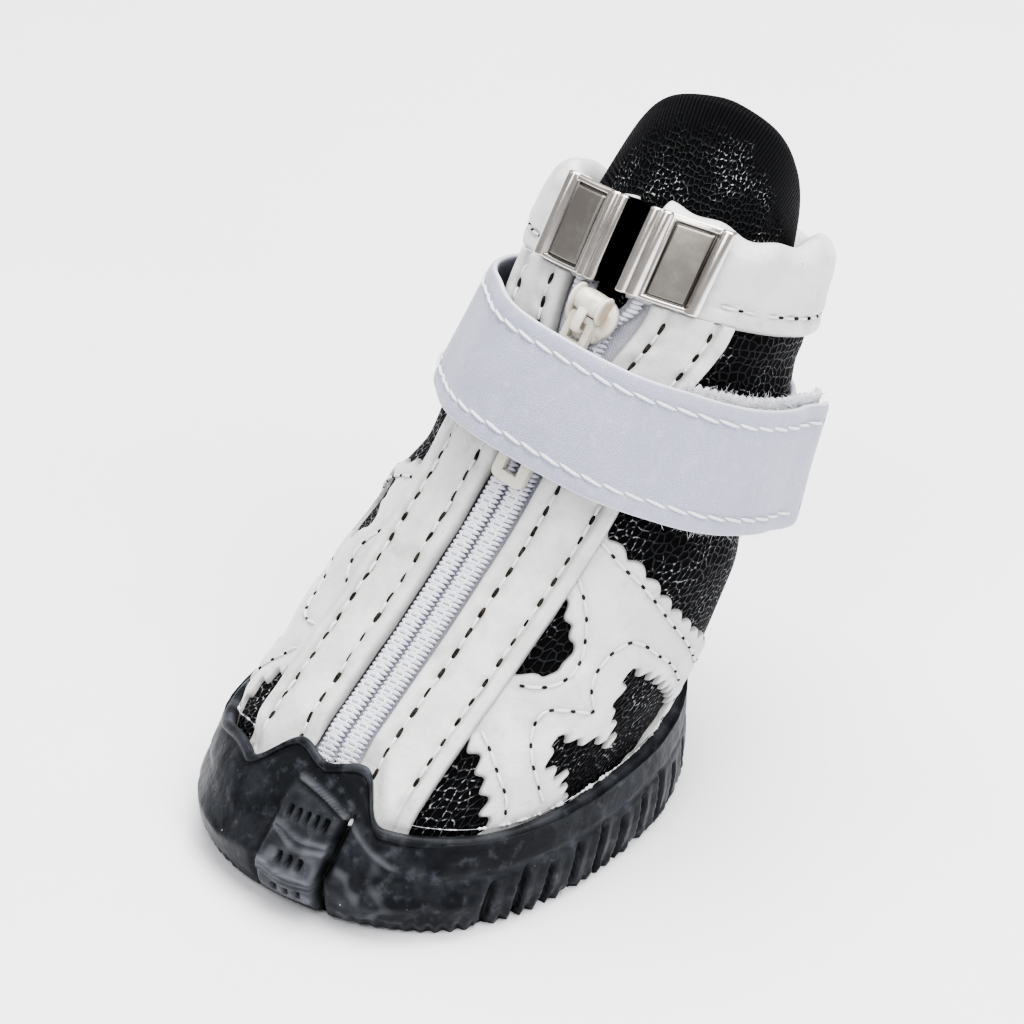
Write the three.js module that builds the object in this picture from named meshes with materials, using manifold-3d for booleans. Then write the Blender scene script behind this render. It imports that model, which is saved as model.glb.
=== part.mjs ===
// A zip-up dog boot: a moulded rubber cup sole, a padded mesh upper with facing strips along a front
// zip, a tongue that rises behind the zip, a bound collar with two metal end clips, and a strap.
//
// Units are millimetres. +Z is up, the toe points to -Y, and +X is the boot's own left as it is worn.
// The origin is the middle of the outsole's underside, where the sole rests on the ground.
import * as THREE from "three";
import { mergeVertices } from "three/addons/utils/BufferGeometryUtils.js";
import Module from "manifold-3d";

const wasm = await Module();
wasm.setup();

// ---------------------------------------------------------------- driving dimensions
const SOLE_LENGTH = 78;
const SOLE_WIDTH = 64;
const SOLE_FLOOR = 4.5; // ground to the inside of the cup
const RUBBER = 2.4; // thickness of the cup's wall at the rim
const WALL = 1.8; // padded mesh of the upper
const GAP = 0.35; // room between two pieces that meet

// The upper's outer skin: one row for each section, from the insole up. A section is a tilted
// rounded ring with its front and rear points in the side view, its half width, how far the slack
// shaft has leant towards +X there, how far round that side its front centre line has turned, and
// its squareness (2 is an ellipse). From row 0 they are at the insole, rim, vamp, instep, ankle, the
// strap's lower and upper edge and the collar; the last is above it, where only the tongue goes.
const SECTIONS = [
  { frontY: -33.5, frontZ: 4.8, rearY: 34.5, rearZ: 4.8, half: 26.4, lean: 0, twist: 0, square: 2.35 },
  { frontY: -32.5, frontZ: 13.5, rearY: 37, rearZ: 13.5, half: 28, lean: 0.2, twist: 0, square: 2.35 },
  { frontY: -26, frontZ: 20.5, rearY: 39.5, rearZ: 18, half: 28.4, lean: 1, twist: 0, square: 2.3 },
  { frontY: -9.5, frontZ: 34.5, rearY: 42, rearZ: 25, half: 27.8, lean: 3, twist: 0.4, square: 2.25 },
  { frontY: 3.5, frontZ: 49, rearY: 45.5, rearZ: 34.5, half: 26, lean: 5.5, twist: 1, square: 2.2 },
  { frontY: 13, frontZ: 63.5, rearY: 49.5, rearZ: 48.5, half: 24.2, lean: 8, twist: 1.4, square: 2.2 },
  { frontY: 21, frontZ: 78, rearY: 54, rearZ: 63, half: 22.4, lean: 10.5, twist: 1.8, square: 2.2 },
  { frontY: 28, frontZ: 92.5, rearY: 58, rearZ: 78, half: 20.4, lean: 12.8, twist: 2, square: 2.2 },
  { frontY: 39, frontZ: 108, rearY: 63, rearZ: 94, half: 17.5, lean: 14.5, twist: 2, square: 2.1 },
];
const COLLAR = 7; // level of the collar's top edge, counted in rows of SECTIONS

// The rubber cup's outer wall from the ground up: height as a share of the rim's height, and how far
// the wall has gone from the sole's outline (0) to the upper's skin (1).
const WALL_ROWS = [
  { z: 0, scale: 0.66, inward: 0 },
  { z: 0, scale: 0.955, inward: 0 },
  { z: 0.15, scale: 0.99, inward: 0 },
  { z: 0.36, scale: 1, inward: 0 },
  { z: 0.72, scale: 1, inward: 0.5 },
  { z: 0.94, scale: 1, inward: 0.9 },
  { z: 1, scale: 1, inward: 1 },
];
const SOLE_SQUARE = 2.35;
const TOE_SPRING = 1.2;
const SPRING_FROM = 26; // the underside starts to lift this far forward of the origin
const SLITS = 14; // slits that part each side wall into lugs
const SLIT = { from: 0.22, to: 0.95, width: 1.1, length: 11, depth: 3.2, z: 2.6, slant: 0.22 };
const CHEVRONS = 7;
const CHEVRON = { length: 26, width: 2.2, reach: 27, x: 20, forward: 3, turn: 0.42 };
const LUG_DEPTH = 2;
const TOE_BLOCK = { half: 0.17, low: 0.1, high: 0.74, proud: 0.9, sunk: 1.2 }; // half is a ring angle
const RIM_LIP = 1.5; // the rubber's top turns in over the upper's form before the form is cut out
const INSOLE_THICK = 2;

// Heights of the cup's rim.
const RIM_SIDE = 13.8;
const RIM_FLANK = 2.4; // more at the toe's flanks
const RIM_HEEL = 4; // more at the heel
const TAB_RISE = 5.6; // the toe tab over the flanks
const TAB_HALF = 9.3;
const TAB_SLOPE = 7;
const TAB_DIP = 1.2; // the hollow in the tab's top, at the foot of the zip

// Front closure: d values are distances from the front centre line along the skin, levels are rows
// of SECTIONS, and off values are distances out of the skin.
const SLOT = { d: 9, foot: 1.4, top: 7.6 }; // cut out of the upper behind the zip
const CLOSURE_FOOT = 1.9; // level of the strips' feet, before they are lifted clear of the rim
const FACING = { inner: 4.4, outer: 16.6, spreadFrom: 5.3, spreadTo: 6.2, spreadBy: 2.6 };
const FACING_THICK = 1.3;
const TAPE_OUT_D = 8.6;
const TAPE_OFF = -1;
const TAPE_THICK = 0.7;
const CHAIN_D = 2.9;
const ZIP_INNER_D = 0.2; // half of the hair's breadth between the two halves of the zip
const CHAIN_THICK = 1.7;
const SLIDER_LEVEL = 6;
const COLLAR_FOOT = 6.26; // level of the collar binding's lower edge
const BINDING = 1.4;
const INNER_LEG = 1; // thickness of the binding's leg inside the upper
const CLIP_HALF_GAP = 1.8; // from the throat's middle to a clip
const CLIP_FOOT = 6.33;
const CLIP_WIDTH = 11.6;
const CLIP_THICK = 0.8;
const CLIP_SHORT = 4; // the clip's leg inside the boot is this much shorter

// Zip pull, in the slider's frame: it hangs from the slider's bridge down the front of the zip.
const PULL_LENGTH = 28;
const PULL_TOP_WIDTH = 4.4;
const PULL_END_WIDTH = 6;
const PULL_THICK = 1.2;
const PULL_HEAD = 0.5; // how far its upper end passes the pin
const PULL_ROUND = { top: 0.8, end: 1.4 }; // radii of its corners
const PULL_HOLE = { length: 4, up: 1.6, rail: 1.7 }; // the window at its lower end
const PULL_EYE = { low: 4.2, high: 1 }; // the eye that the bridge goes through, down from its upper end
const SLIDER = { width: 8.8, length: 7.6, thick: 1.2, taper: 1.1, shoulder: 2, nose: 0.4 };
const BRIDGE = { width: 1.6, length: 5.6, rise: 2.9, bar: 1, sunk: 0.1 };
const PULL_HINGE = { y: -0.3, z: 2.45 }; // the pull's pin, under the slider's bridge
const PULL_LIE = (3.3 * Math.PI) / 180; // the pull leans in until its end lies on the coil

// Tongue behind the zip; it ends in a dome above the collar.
const TONGUE_FOOT = 2.3;
const TONGUE_TOP = 7.9;
const TONGUE_HALF = 15.5;
const DOME_HALF = 28;
const DOME_FROM = 6.6;
const DOME_RISE = 1.35; // in levels, if the dome weren't cut off at TONGUE_TOP
const TONGUE_THICK = 3;
const TONGUE_BACK = { room: 2.5, topRoom: 5, from: 5.2, to: 6.3 }; // how far inside the skin it lies

// The strap: its inner face's distance from the skin at each turn of the ring, in degrees. It starts
// under its own free end at the +X side, runs round the back and the -X side, and bridges the zip.
const STRAP_WIDTH = 20;
const STRAP_THICK = 1.5;
const STRAP_LEVEL = 5.2;
const STRAP_TILT = 0.22; // in levels: it sits higher at the -X side
const STRAP_ROUTE = [
  { turn: -265, off: 0.4 },
  { turn: -120, off: 0.4 },
  { turn: -78, off: 1.8 },
  { turn: -45, off: 2.5 },
  { turn: -12, off: 5.8 },
  { turn: 24, off: 5.8 },
  { turn: 52, off: 2.6 },
  { turn: 82, off: 2.6 },
  { turn: 103, off: 3 },
  { turn: 119, off: 5.2 },
];

const RING_STEPS = 60;
const UPPER_ROWS = 10;

// ---------------------------------------------------------------- curves and the skin
const clamp = (x, low, high) => Math.min(high, Math.max(low, x));
const mix = (a, b, t) => a + (b - a) * t;
const smooth = (low, high, x) => {
  const t = clamp((x - low) / (high - low), 0, 1);
  return t * t * (3 - 2 * t);
};

// A value of the table at a level between rows, on a Catmull-Rom curve through the rows.
function column(rows, key, level) {
  const last = rows.length - 1;
  const i = clamp(Math.floor(level), 0, last - 1);
  const t = level - i;
  const [p0, p1, p2, p3] = [i - 1, i, i + 1, i + 2].map((k) => rows[clamp(k, 0, last)][key]);
  const a = 2 * p1;
  const b = p2 - p0;
  const c = 2 * p0 - 5 * p1 + 4 * p2 - p3;
  const d = 3 * p1 - p0 - 3 * p2 + p3;
  return (a + b * t + c * t * t + d * t * t * t) / 2;
}

// cos and sin raised so that a circle becomes a rounded square.
const squared = (x, square) => Math.sign(x) * Math.abs(x) ** (2 / square);

// The upper's outer skin at a level and an angle round the ring: 0 is the front, +90 degrees is +X.
function skin(level, angle) {
  const at = (key) => column(SECTIONS, key, level);
  const square = at("square");
  const along = (1 - squared(Math.cos(angle), square)) / 2; // 0 at the front, 1 at the rear
  return new THREE.Vector3(
    at("lean") + at("half") * squared(Math.sin(angle), square),
    mix(at("frontY"), at("rearY"), along),
    mix(at("frontZ"), at("rearZ"), along),
  );
}

// A point off the skin, along its outward normal.
function offSkin(level, angle, out) {
  const h = 0.02;
  const alongRing = skin(level, angle + h).sub(skin(level, angle - h));
  const up = skin(level + h, angle).sub(skin(level - h, angle));
  const normal = alongRing.cross(up).normalize();
  return skin(level, angle).addScaledVector(normal, out);
}

// The ring angle at a distance along the skin from angle 0, positive towards +X.
function angleAt(level, distance) {
  const step = ((distance < 0 ? -1 : 1) * Math.PI) / 180;
  let run = 0;
  let before = skin(level, 0);
  for (let k = 1; k <= 360; k++) {
    const here = skin(level, k * step);
    const piece = here.distanceTo(before);
    if (run + piece >= Math.abs(distance)) {
      return step * (k - 1 + (Math.abs(distance) - run) / piece);
    }
    run += piece;
    before = here;
  }
  return 0;
}

// A point at a distance d along the skin from the turned front centre line, and off it.
const onSkin = (level, d, out) => offSkin(level, angleAt(level, d + column(SECTIONS, "twist", level)), out);

// Ring angles from the front round to the front again, closer together at the toe.
const ringAngle = (share) => 2 * Math.PI * share - 0.6 * Math.sin(2 * Math.PI * share);
const RING = Array.from({ length: RING_STEPS }, (_, k) => ringAngle(k / RING_STEPS));
const spread = (low, high, steps) => Array.from({ length: steps + 1 }, (_, k) => mix(low, high, k / steps));
const UPPER_LEVELS = spread(0, COLLAR, UPPER_ROWS);

// ---------------------------------------------------------------- solids
function geometryFrom(points, triangles) {
  const flat = new Float32Array(points.flatMap((p) => [p.x, p.y, p.z]));
  const geometry = new THREE.BufferGeometry();
  geometry.setAttribute("position", new THREE.BufferAttribute(flat, 3));
  geometry.setIndex(triangles);
  return geometry;
}

// A closed slab from a grid of points on its outer face and one on its inner face, both with rows
// going up and columns going towards +X as seen from outside.
function slab(outer, inner) {
  const rows = outer.length;
  const columns = outer[0].length;
  const points = [...outer.flat(), ...inner.flat()];
  const out = (r, c) => r * columns + c;
  const back = (r, c) => rows * columns + r * columns + c;
  const triangles = [];
  const quad = (a, b, c, d) => triangles.push(a, b, c, a, c, d);
  for (let r = 0; r + 1 < rows; r++) {
    for (let c = 0; c + 1 < columns; c++) {
      quad(out(r, c), out(r, c + 1), out(r + 1, c + 1), out(r + 1, c));
      quad(back(r, c), back(r + 1, c), back(r + 1, c + 1), back(r, c + 1));
    }
  }
  for (let c = 0; c + 1 < columns; c++) {
    quad(back(0, c), back(0, c + 1), out(0, c + 1), out(0, c));
    quad(out(rows - 1, c), out(rows - 1, c + 1), back(rows - 1, c + 1), back(rows - 1, c));
  }
  for (let r = 0; r + 1 < rows; r++) {
    quad(back(r, 0), out(r, 0), out(r + 1, 0), back(r + 1, 0));
    quad(out(r, columns - 1), back(r, columns - 1), back(r + 1, columns - 1), out(r + 1, columns - 1));
  }
  return geometryFrom(points, triangles);
}

// A slab that follows the skin, through levels: the distances across it and the offsets of its two
// faces may depend on the level.
function skinSlab(levels, across, outerOff, innerOff) {
  const offAt = (off, level) => (typeof off === "function" ? off(level) : off);
  const face = (off) => levels.map((level) => across(level).map((d) => onSkin(level, d, offAt(off, level))));
  return slab(face(outerOff), face(innerOff));
}

// A closed solid through rings of equal count, with a fan from a middle point at each end.
function loft(rings) {
  const count = rings[0].length;
  const points = rings.flat();
  const triangles = [];
  for (let r = 0; r + 1 < rings.length; r++) {
    for (let c = 0; c < count; c++) {
      const next = (c + 1) % count;
      const [a, b, e, f] = [r * count + c, r * count + next, (r + 1) * count + next, (r + 1) * count + c];
      triangles.push(a, b, e, a, e, f);
    }
  }
  const middle = (ring) => ring.reduce((sum, p) => sum.add(p), new THREE.Vector3()).divideScalar(count);
  const bottom = points.push(middle(rings[0])) - 1;
  const top = points.push(middle(rings[rings.length - 1])) - 1;
  const lastRing = (rings.length - 1) * count;
  for (let c = 0; c < count; c++) {
    const next = (c + 1) % count;
    triangles.push(bottom, next, c);
    triangles.push(top, lastRing + c, lastRing + next);
  }
  return geometryFrom(points, triangles);
}

// A tube wall closed round the ring: outer rings up, inner rings down, joined at both ends.
function tube(outerRings, innerRings) {
  const loop = [...outerRings, ...[...innerRings].reverse()];
  const count = loop[0].length;
  const points = loop.flat();
  const triangles = [];
  for (let r = 0; r < loop.length; r++) {
    const above = (r + 1) % loop.length;
    for (let c = 0; c < count; c++) {
      const next = (c + 1) % count;
      const [a, b, e, f] = [r * count + c, r * count + next, above * count + next, above * count + c];
      triangles.push(a, b, e, a, e, f);
    }
  }
  return geometryFrom(points, triangles);
}

function solid(geometry) {
  const bare = geometry.index ? geometry.toNonIndexed() : geometry.clone();
  bare.deleteAttribute("normal");
  bare.deleteAttribute("uv");
  const merged = mergeVertices(bare, 1e-4);
  return new wasm.Manifold(
    new wasm.Mesh({
      numProp: 3,
      vertProperties: merged.attributes.position.array,
      triVerts: new Uint32Array(merged.index.array),
    }),
  );
}

function geometryOf(manifold) {
  const mesh = manifold.getMesh();
  const points = [];
  for (let k = 0; k < mesh.numVert; k++) {
    points.push(new THREE.Vector3(...mesh.vertProperties.subarray(k * mesh.numProp, k * mesh.numProp + 3)));
  }
  return geometryFrom(points, [...mesh.triVerts]);
}

const box = (x, y, z) => new THREE.BoxGeometry(x, y, z);
const moved = (geometry, matrix) => geometry.clone().applyMatrix4(matrix);

// ---------------------------------------------------------------- rubber cup sole
// The sole's widest outline at a ring angle.
function outline(angle, scale, z) {
  const x = (SOLE_WIDTH / 2) * scale * squared(Math.sin(angle), SOLE_SQUARE);
  const y = -(SOLE_LENGTH / 2) * scale * squared(Math.cos(angle), SOLE_SQUARE);
  return new THREE.Vector3(x, y, z);
}

// The rim's height, from how far round the ring it is.
function rimHeight(angle) {
  const front = Math.max(0, Math.cos(angle));
  const rear = Math.max(0, -Math.cos(angle));
  const side = front > 0 ? Math.abs(skin(1.5, angle).x - skin(1.5, 0).x) : SOLE_WIDTH;
  const tab = TAB_RISE * (1 - smooth(TAB_HALF - TAB_SLOPE / 2, TAB_HALF + TAB_SLOPE / 2, side));
  const dip = TAB_DIP * (1 - smooth(0, TAB_HALF * 0.6, side));
  return RIM_SIDE + RIM_FLANK * front ** 3 + RIM_HEEL * rear ** 3 + tab - dip;
}

// The level at which the skin reaches a height, at a ring angle.
function levelAtHeight(angle, z) {
  let [low, high] = [0, 4];
  for (let k = 0; k < 30; k++) {
    const level = (low + high) / 2;
    if (skin(level, angle).z < z) low = level;
    else high = level;
  }
  return (low + high) / 2;
}

// The cup's outer wall: a row of WALL_ROWS and a ring angle.
function cupWall(row, angle, out = 0) {
  const rim = rimHeight(angle);
  const lip = offSkin(levelAtHeight(angle, rim), angle, RUBBER + GAP);
  const z = row.z * rim;
  const foot = outline(angle, row.scale, z);
  const point = new THREE.Vector3(mix(foot.x, lip.x, row.inward), mix(foot.y, lip.y, row.inward), z);
  point.z += TOE_SPRING * smooth(SPRING_FROM, SOLE_LENGTH / 2, -point.y) * (1 - smooth(0, 0.5, row.z));
  return point.addScaledVector(outline(angle, 1, 0).normalize(), out);
}

// What fills the inside of the cup: the upper's form, grown by the gap.
function footForm() {
  const rings = UPPER_LEVELS.slice(0, 5).map((level) => RING.map((angle) => offSkin(level, angle, GAP)));
  rings[0].forEach((p) => (p.z = SOLE_FLOOR));
  return solid(loft(rings));
}

// Slits that part the side wall into lugs, and the chevrons underneath.
function treadCuts() {
  const cuts = [];
  for (const side of [-1, 1]) {
    for (const share of spread(SLIT.from, SLIT.to, SLITS - 1)) {
      const at = outline(side * Math.PI * share, 1, 0);
      const place = new THREE.Matrix4()
        .makeTranslation(at.x, at.y, SLIT.z)
        .multiply(new THREE.Matrix4().makeRotationZ(Math.atan2(at.y, at.x)))
        .multiply(new THREE.Matrix4().makeRotationX(SLIT.slant * side));
      cuts.push(moved(box(SLIT.depth, SLIT.width, SLIT.length), place));
    }
    for (const y of spread(-CHEVRON.reach, CHEVRON.reach, CHEVRONS - 1)) {
      const place = new THREE.Matrix4()
        .makeTranslation(side * CHEVRON.x, y + CHEVRON.forward, 0)
        .multiply(new THREE.Matrix4().makeRotationZ(side * CHEVRON.turn));
      cuts.push(moved(box(CHEVRON.length, CHEVRON.width, 2 * LUG_DEPTH), place));
    }
  }
  return cuts.map(solid);
}

// The raised block at the toe, between two upright grooves.
function toeBlock() {
  const angles = spread(-TOE_BLOCK.half, TOE_BLOCK.half, 6);
  const heights = spread(TOE_BLOCK.low, TOE_BLOCK.high, 4);
  const face = (out) =>
    heights.map((share) =>
      angles.map((angle) => {
        const k = WALL_ROWS.findIndex((row) => row.z >= share);
        const [below, above] = [cupWall(WALL_ROWS[k - 1], angle, out), cupWall(WALL_ROWS[k], angle, out)];
        const t = (share - WALL_ROWS[k - 1].z) / (WALL_ROWS[k].z - WALL_ROWS[k - 1].z);
        return below.lerp(above, t);
      }),
    );
  return solid(slab(face(TOE_BLOCK.proud), face(-TOE_BLOCK.sunk)));
}

function buildSole() {
  const rings = WALL_ROWS.map((row) => RING.map((angle) => cupWall(row, angle)));
  const inside = RING.map((angle) => {
    const rim = rimHeight(angle);
    return offSkin(levelAtHeight(angle, rim), angle, -RIM_LIP).setZ(rim);
  });
  let cup = solid(loft([...rings, inside])).add(toeBlock());
  for (const cut of [footForm(), ...treadCuts()]) cup = cup.subtract(cut);
  return geometryOf(cup);
}

// ---------------------------------------------------------------- insole and upper
function buildInsole() {
  const ring = (z) => RING.map((angle) => offSkin(0.05, angle, -WALL - GAP).setZ(z));
  return loft([ring(SOLE_FLOOR + GAP), ring(SOLE_FLOOR + GAP + INSOLE_THICK)]);
}

function buildUpper() {
  const rings = (off) => UPPER_LEVELS.map((level) => RING.map((angle) => offSkin(level, angle, off)));
  const slot = skinSlab(spread(SLOT.foot, SLOT.top, 14), () => spread(-SLOT.d, SLOT.d, 6), 8, -8);
  return geometryOf(solid(tube(rings(0), rings(-WALL))).subtract(solid(slot)));
}

// ---------------------------------------------------------------- front closure
// The level just above the rubber rim, at a distance from the front centre line.
function aboveRim(d) {
  const angle = angleAt(2, d);
  return levelAtHeight(angle, rimHeight(angle) + 3 * GAP);
}

// A strip up the front through levels, with its own edges at each of them; its foot follows the
// rubber rim.
function frontStrip(side, levels, columns, edges, outerOff, innerOff) {
  const top = levels[levels.length - 1];
  const across = (level) => {
    const [low, high] = edges(level).sort((a, b) => side * (a - b));
    return spread(side * low, side * high, columns);
  };
  const face = (off) =>
    levels.map((level) =>
      across(level).map((d) => {
        const lift = (aboveRim(d) - levels[0]) * ((top - level) / (top - levels[0]));
        return onSkin(level + lift, d, off);
      }),
    );
  return slab(face(outerOff), face(innerOff));
}

// A facing's edges keep their distance up to the slider and then spread apart.
const facingEdges = (level) => {
  const apart = FACING.spreadBy * smooth(FACING.spreadFrom, FACING.spreadTo, level);
  return [FACING.inner + apart, FACING.outer + apart];
};

const buildFacing = (side) =>
  frontStrip(side, spread(CLOSURE_FOOT, COLLAR_FOOT - 0.04, 12), 5, facingEdges, GAP + FACING_THICK, GAP);

// The tape's inner edge leaves the chain at the slider and runs clear of the clip to the collar.
const buildTape = (side) => {
  const levels = [...spread(CLOSURE_FOOT, 5.8, 11), 5.9, 6, 6.12, 6.25, 6.6, 6.95];
  const leaving = (level) => smooth(SLIDER_LEVEL - 0.12, SLIDER_LEVEL + 0.24, level);
  const inner = (level) => mix(ZIP_INNER_D, CLIP_HALF_GAP + CLIP_THICK + GAP, leaving(level));
  return frontStrip(side, levels, 2, (level) => [inner(level), TAPE_OUT_D], TAPE_OFF + TAPE_THICK, TAPE_OFF);
};

const buildCoil = (side) => {
  const levels = spread(CLOSURE_FOOT, SLIDER_LEVEL - 0.26, 12);
  return frontStrip(side, levels, 2, () => [ZIP_INNER_D, CHAIN_D], CHAIN_THICK, 0);
};

// The slider's frame: +X across the boot, +Y up the zip and +Z out of it.
function sliderFrame() {
  const at = onSkin(SLIDER_LEVEL, 0, CHAIN_THICK);
  const up = onSkin(SLIDER_LEVEL + 0.1, 0, 0).sub(onSkin(SLIDER_LEVEL - 1.6, 0, 0)).normalize();
  const across = onSkin(SLIDER_LEVEL, 0.3, 0).sub(onSkin(SLIDER_LEVEL, -0.3, 0));
  across.addScaledVector(up, -across.dot(up)).normalize();
  return new THREE.Matrix4().makeBasis(across, up, across.clone().cross(up)).setPosition(at);
}
const inSliderFrame = (geometry, x, y, z) =>
  moved(geometry, sliderFrame().multiply(new THREE.Matrix4().makeTranslation(x, y, z)));

// A wedge plate over the chain, with an arched bridge on it that holds the pull.
function buildSlider() {
  const { width, length, thick, taper, shoulder, nose } = SLIDER;
  const shape = new THREE.Shape();
  shape.moveTo(-width / 2 + taper, -length / 2);
  shape.lineTo(width / 2 - taper, -length / 2);
  shape.lineTo(width / 2, length / 2 - shoulder);
  shape.quadraticCurveTo(width / 2 - nose, length / 2, 0, length / 2);
  shape.quadraticCurveTo(-width / 2 + nose, length / 2, -width / 2, length / 2 - shoulder);
  const plate = new THREE.ExtrudeGeometry(shape, { depth: thick, bevelEnabled: false, curveSegments: 5 });
  const { bar, rise } = BRIDGE;
  const end = BRIDGE.length / 2;
  const arch = new THREE.Shape();
  arch.moveTo(-end, 0);
  arch.lineTo(-end, rise - bar);
  arch.quadraticCurveTo(-end, rise, bar - end, rise);
  arch.lineTo(end - bar, rise);
  arch.quadraticCurveTo(end, rise, end, rise - bar);
  arch.lineTo(end, 0);
  arch.lineTo(end - bar, 0);
  arch.lineTo(end - bar, rise - bar);
  arch.lineTo(bar - end, rise - bar);
  arch.lineTo(bar - end, 0);
  const extrusion = { depth: BRIDGE.width, bevelEnabled: false, curveSegments: 3 };
  const bridge = new THREE.ExtrudeGeometry(arch, extrusion);
  const upright = new THREE.Matrix4().makeBasis(
    new THREE.Vector3(0, 1, 0),
    new THREE.Vector3(0, 0, 1),
    new THREE.Vector3(1, 0, 0),
  );
  upright.setPosition(-BRIDGE.width / 2, 0, GAP + thick - BRIDGE.sunk);
  return geometryOf(
    solid(inSliderFrame(plate, 0, 0, GAP)).add(solid(moved(bridge, sliderFrame().multiply(upright)))),
  );
}

// The pull: a slightly tapered plate whose end bar is held in the bridge, with a window at its foot.
// It is drawn from the pin down and leans in about the pin.
function buildPull() {
  const topY = PULL_HEAD;
  const endY = topY - PULL_LENGTH;
  const [halfTop, halfEnd] = [PULL_TOP_WIDTH / 2, PULL_END_WIDTH / 2];
  const { top, end } = PULL_ROUND;
  const shape = new THREE.Shape();
  shape.moveTo(-halfTop + top, topY);
  shape.quadraticCurveTo(-halfTop, topY, -halfTop, topY - top);
  shape.lineTo(-halfEnd, endY + end);
  shape.quadraticCurveTo(-halfEnd, endY, -halfEnd + end, endY);
  shape.lineTo(halfEnd - end, endY);
  shape.quadraticCurveTo(halfEnd, endY, halfEnd, endY + end);
  shape.lineTo(halfTop, topY - top);
  shape.quadraticCurveTo(halfTop, topY, halfTop - top, topY);
  const rectangle = (halfWidth, low, high) => {
    const path = new THREE.Path();
    path.moveTo(-halfWidth, low);
    path.lineTo(halfWidth, low);
    path.lineTo(halfWidth, high);
    path.lineTo(-halfWidth, high);
    path.closePath();
    return path;
  };
  const windowFoot = endY + PULL_HOLE.up;
  shape.holes.push(rectangle(halfEnd - PULL_HOLE.rail, windowFoot, windowFoot + PULL_HOLE.length));
  shape.holes.push(rectangle(BRIDGE.width / 2 + GAP, topY - PULL_EYE.low, topY - PULL_EYE.high));
  const extrusion = { depth: PULL_THICK, bevelEnabled: false, curveSegments: 4 };
  const plate = new THREE.ExtrudeGeometry(shape, extrusion);
  plate.translate(0, 0, -PULL_THICK / 2).rotateX(PULL_LIE);
  return inSliderFrame(plate, 0, PULL_HINGE.y, PULL_HINGE.z);
}

// ---------------------------------------------------------------- tongue
function buildTongue() {
  const { room, topRoom, from, to } = TONGUE_BACK;
  const half = (level) => {
    if (level < DOME_FROM) return mix(TONGUE_HALF, DOME_HALF, smooth(5, DOME_FROM, level));
    return DOME_HALF * Math.sqrt(1 - ((level - DOME_FROM) / DOME_RISE) ** 2);
  };
  const outerOff = (level) => -mix(room, topRoom, smooth(from, to, level));
  const levels = [...spread(TONGUE_FOOT, 6.3, 9), ...spread(6.7, TONGUE_TOP, 7)];
  const across = (level) => spread(-half(level), half(level), 12);
  return skinSlab(levels, across, outerOff, (level) => outerOff(level) - TONGUE_THICK);
}

// ---------------------------------------------------------------- strap
function buildStrap() {
  const degree = Math.PI / 180;
  const offAt = (turn) => {
    const k = clamp(STRAP_ROUTE.findIndex((stop) => stop.turn >= turn), 1, STRAP_ROUTE.length - 1);
    const [before, after] = [STRAP_ROUTE[k - 1], STRAP_ROUTE[k]];
    return mix(before.off, after.off, smooth(before.turn, after.turn, turn));
  };
  const turns = spread(STRAP_ROUTE[0].turn, STRAP_ROUTE[STRAP_ROUTE.length - 1].turn, 76);
  const shares = spread(-1, 1, 3);
  const face = (thick) =>
    shares.map((share) =>
      turns.map((turn) => {
        const angle = turn * degree;
        const middle = STRAP_LEVEL - STRAP_TILT * Math.sin(angle);
        const perLevel = skin(middle + 0.5, angle).distanceTo(skin(middle - 0.5, angle));
        const level = middle + (share * STRAP_WIDTH) / 2 / perLevel;
        return offSkin(level, angle, offAt(turn) + thick);
      }),
    );
  return slab(face(STRAP_THICK), face(0));
}

// ---------------------------------------------------------------- collar binding and clips
// Half of the way round the ring at a level.
function halfRun(level) {
  let run = 0;
  for (let k = 0; k < 180; k++) {
    run += skin(level, (k * Math.PI) / 180).distanceTo(skin(level, ((k + 1) * Math.PI) / 180));
  }
  return run;
}

// The binding is folded over the upper's top edge: an outer leg, a rolled top and an inner leg.
function buildCollar() {
  const half = halfRun(COLLAR);
  const end = CLIP_HALF_GAP + CLIP_THICK + 0.2;
  const profile = [
    { level: COLLAR_FOOT, off: GAP + 0.5 },
    { level: COLLAR_FOOT, off: GAP },
    { level: 6.5, off: GAP },
    { level: 6.75, off: GAP },
    { level: COLLAR + 0.03, off: GAP },
    { level: COLLAR + 0.03, off: -WALL - GAP },
    { level: 6.8, off: -WALL - GAP },
    { level: 6.6, off: -WALL - GAP },
    { level: 6.6, off: -WALL - GAP - INNER_LEG },
    { level: 6.98, off: -WALL - GAP - INNER_LEG },
    { level: 7.1, off: -WALL },
    { level: 7.12, off: -0.2 },
    { level: 7.04, off: BINDING },
    { level: 6.8, off: GAP + BINDING },
    { level: 6.45, off: GAP + BINDING },
  ];
  const stations = spread(end, 2 * half - end, 48).map((d) =>
    profile.map(({ level, off }) => onSkin(level, d * (halfRun(level) / half), off)),
  );
  return loft(stations);
}

// A plate folded round the binding's end: seen from above it is a U with its bottom at the throat.
function buildClip(side) {
  const out = GAP + BINDING + GAP;
  const back = -WALL - GAP - INNER_LEG - GAP;
  const leg = (from, to, off) => spread(from, to, 4).map((d) => ({ d, off }));
  const inner = CLIP_HALF_GAP + CLIP_THICK;
  const outer = CLIP_HALF_GAP + CLIP_WIDTH;
  const outside = [
    ...leg(outer, CLIP_HALF_GAP, out + CLIP_THICK),
    ...leg(CLIP_HALF_GAP, outer - CLIP_SHORT, back - CLIP_THICK),
  ];
  const inside = [...leg(outer, inner, out), ...leg(inner, outer - CLIP_SHORT, back)];
  const face = (path) =>
    spread(CLIP_FOOT, COLLAR + 0.1, 5).map((level) => {
      const row = path.map(({ d, off }) => onSkin(level, side * d, off));
      return side > 0 ? row.reverse() : row;
    });
  return slab(face(outside), face(inside));
}

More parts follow.
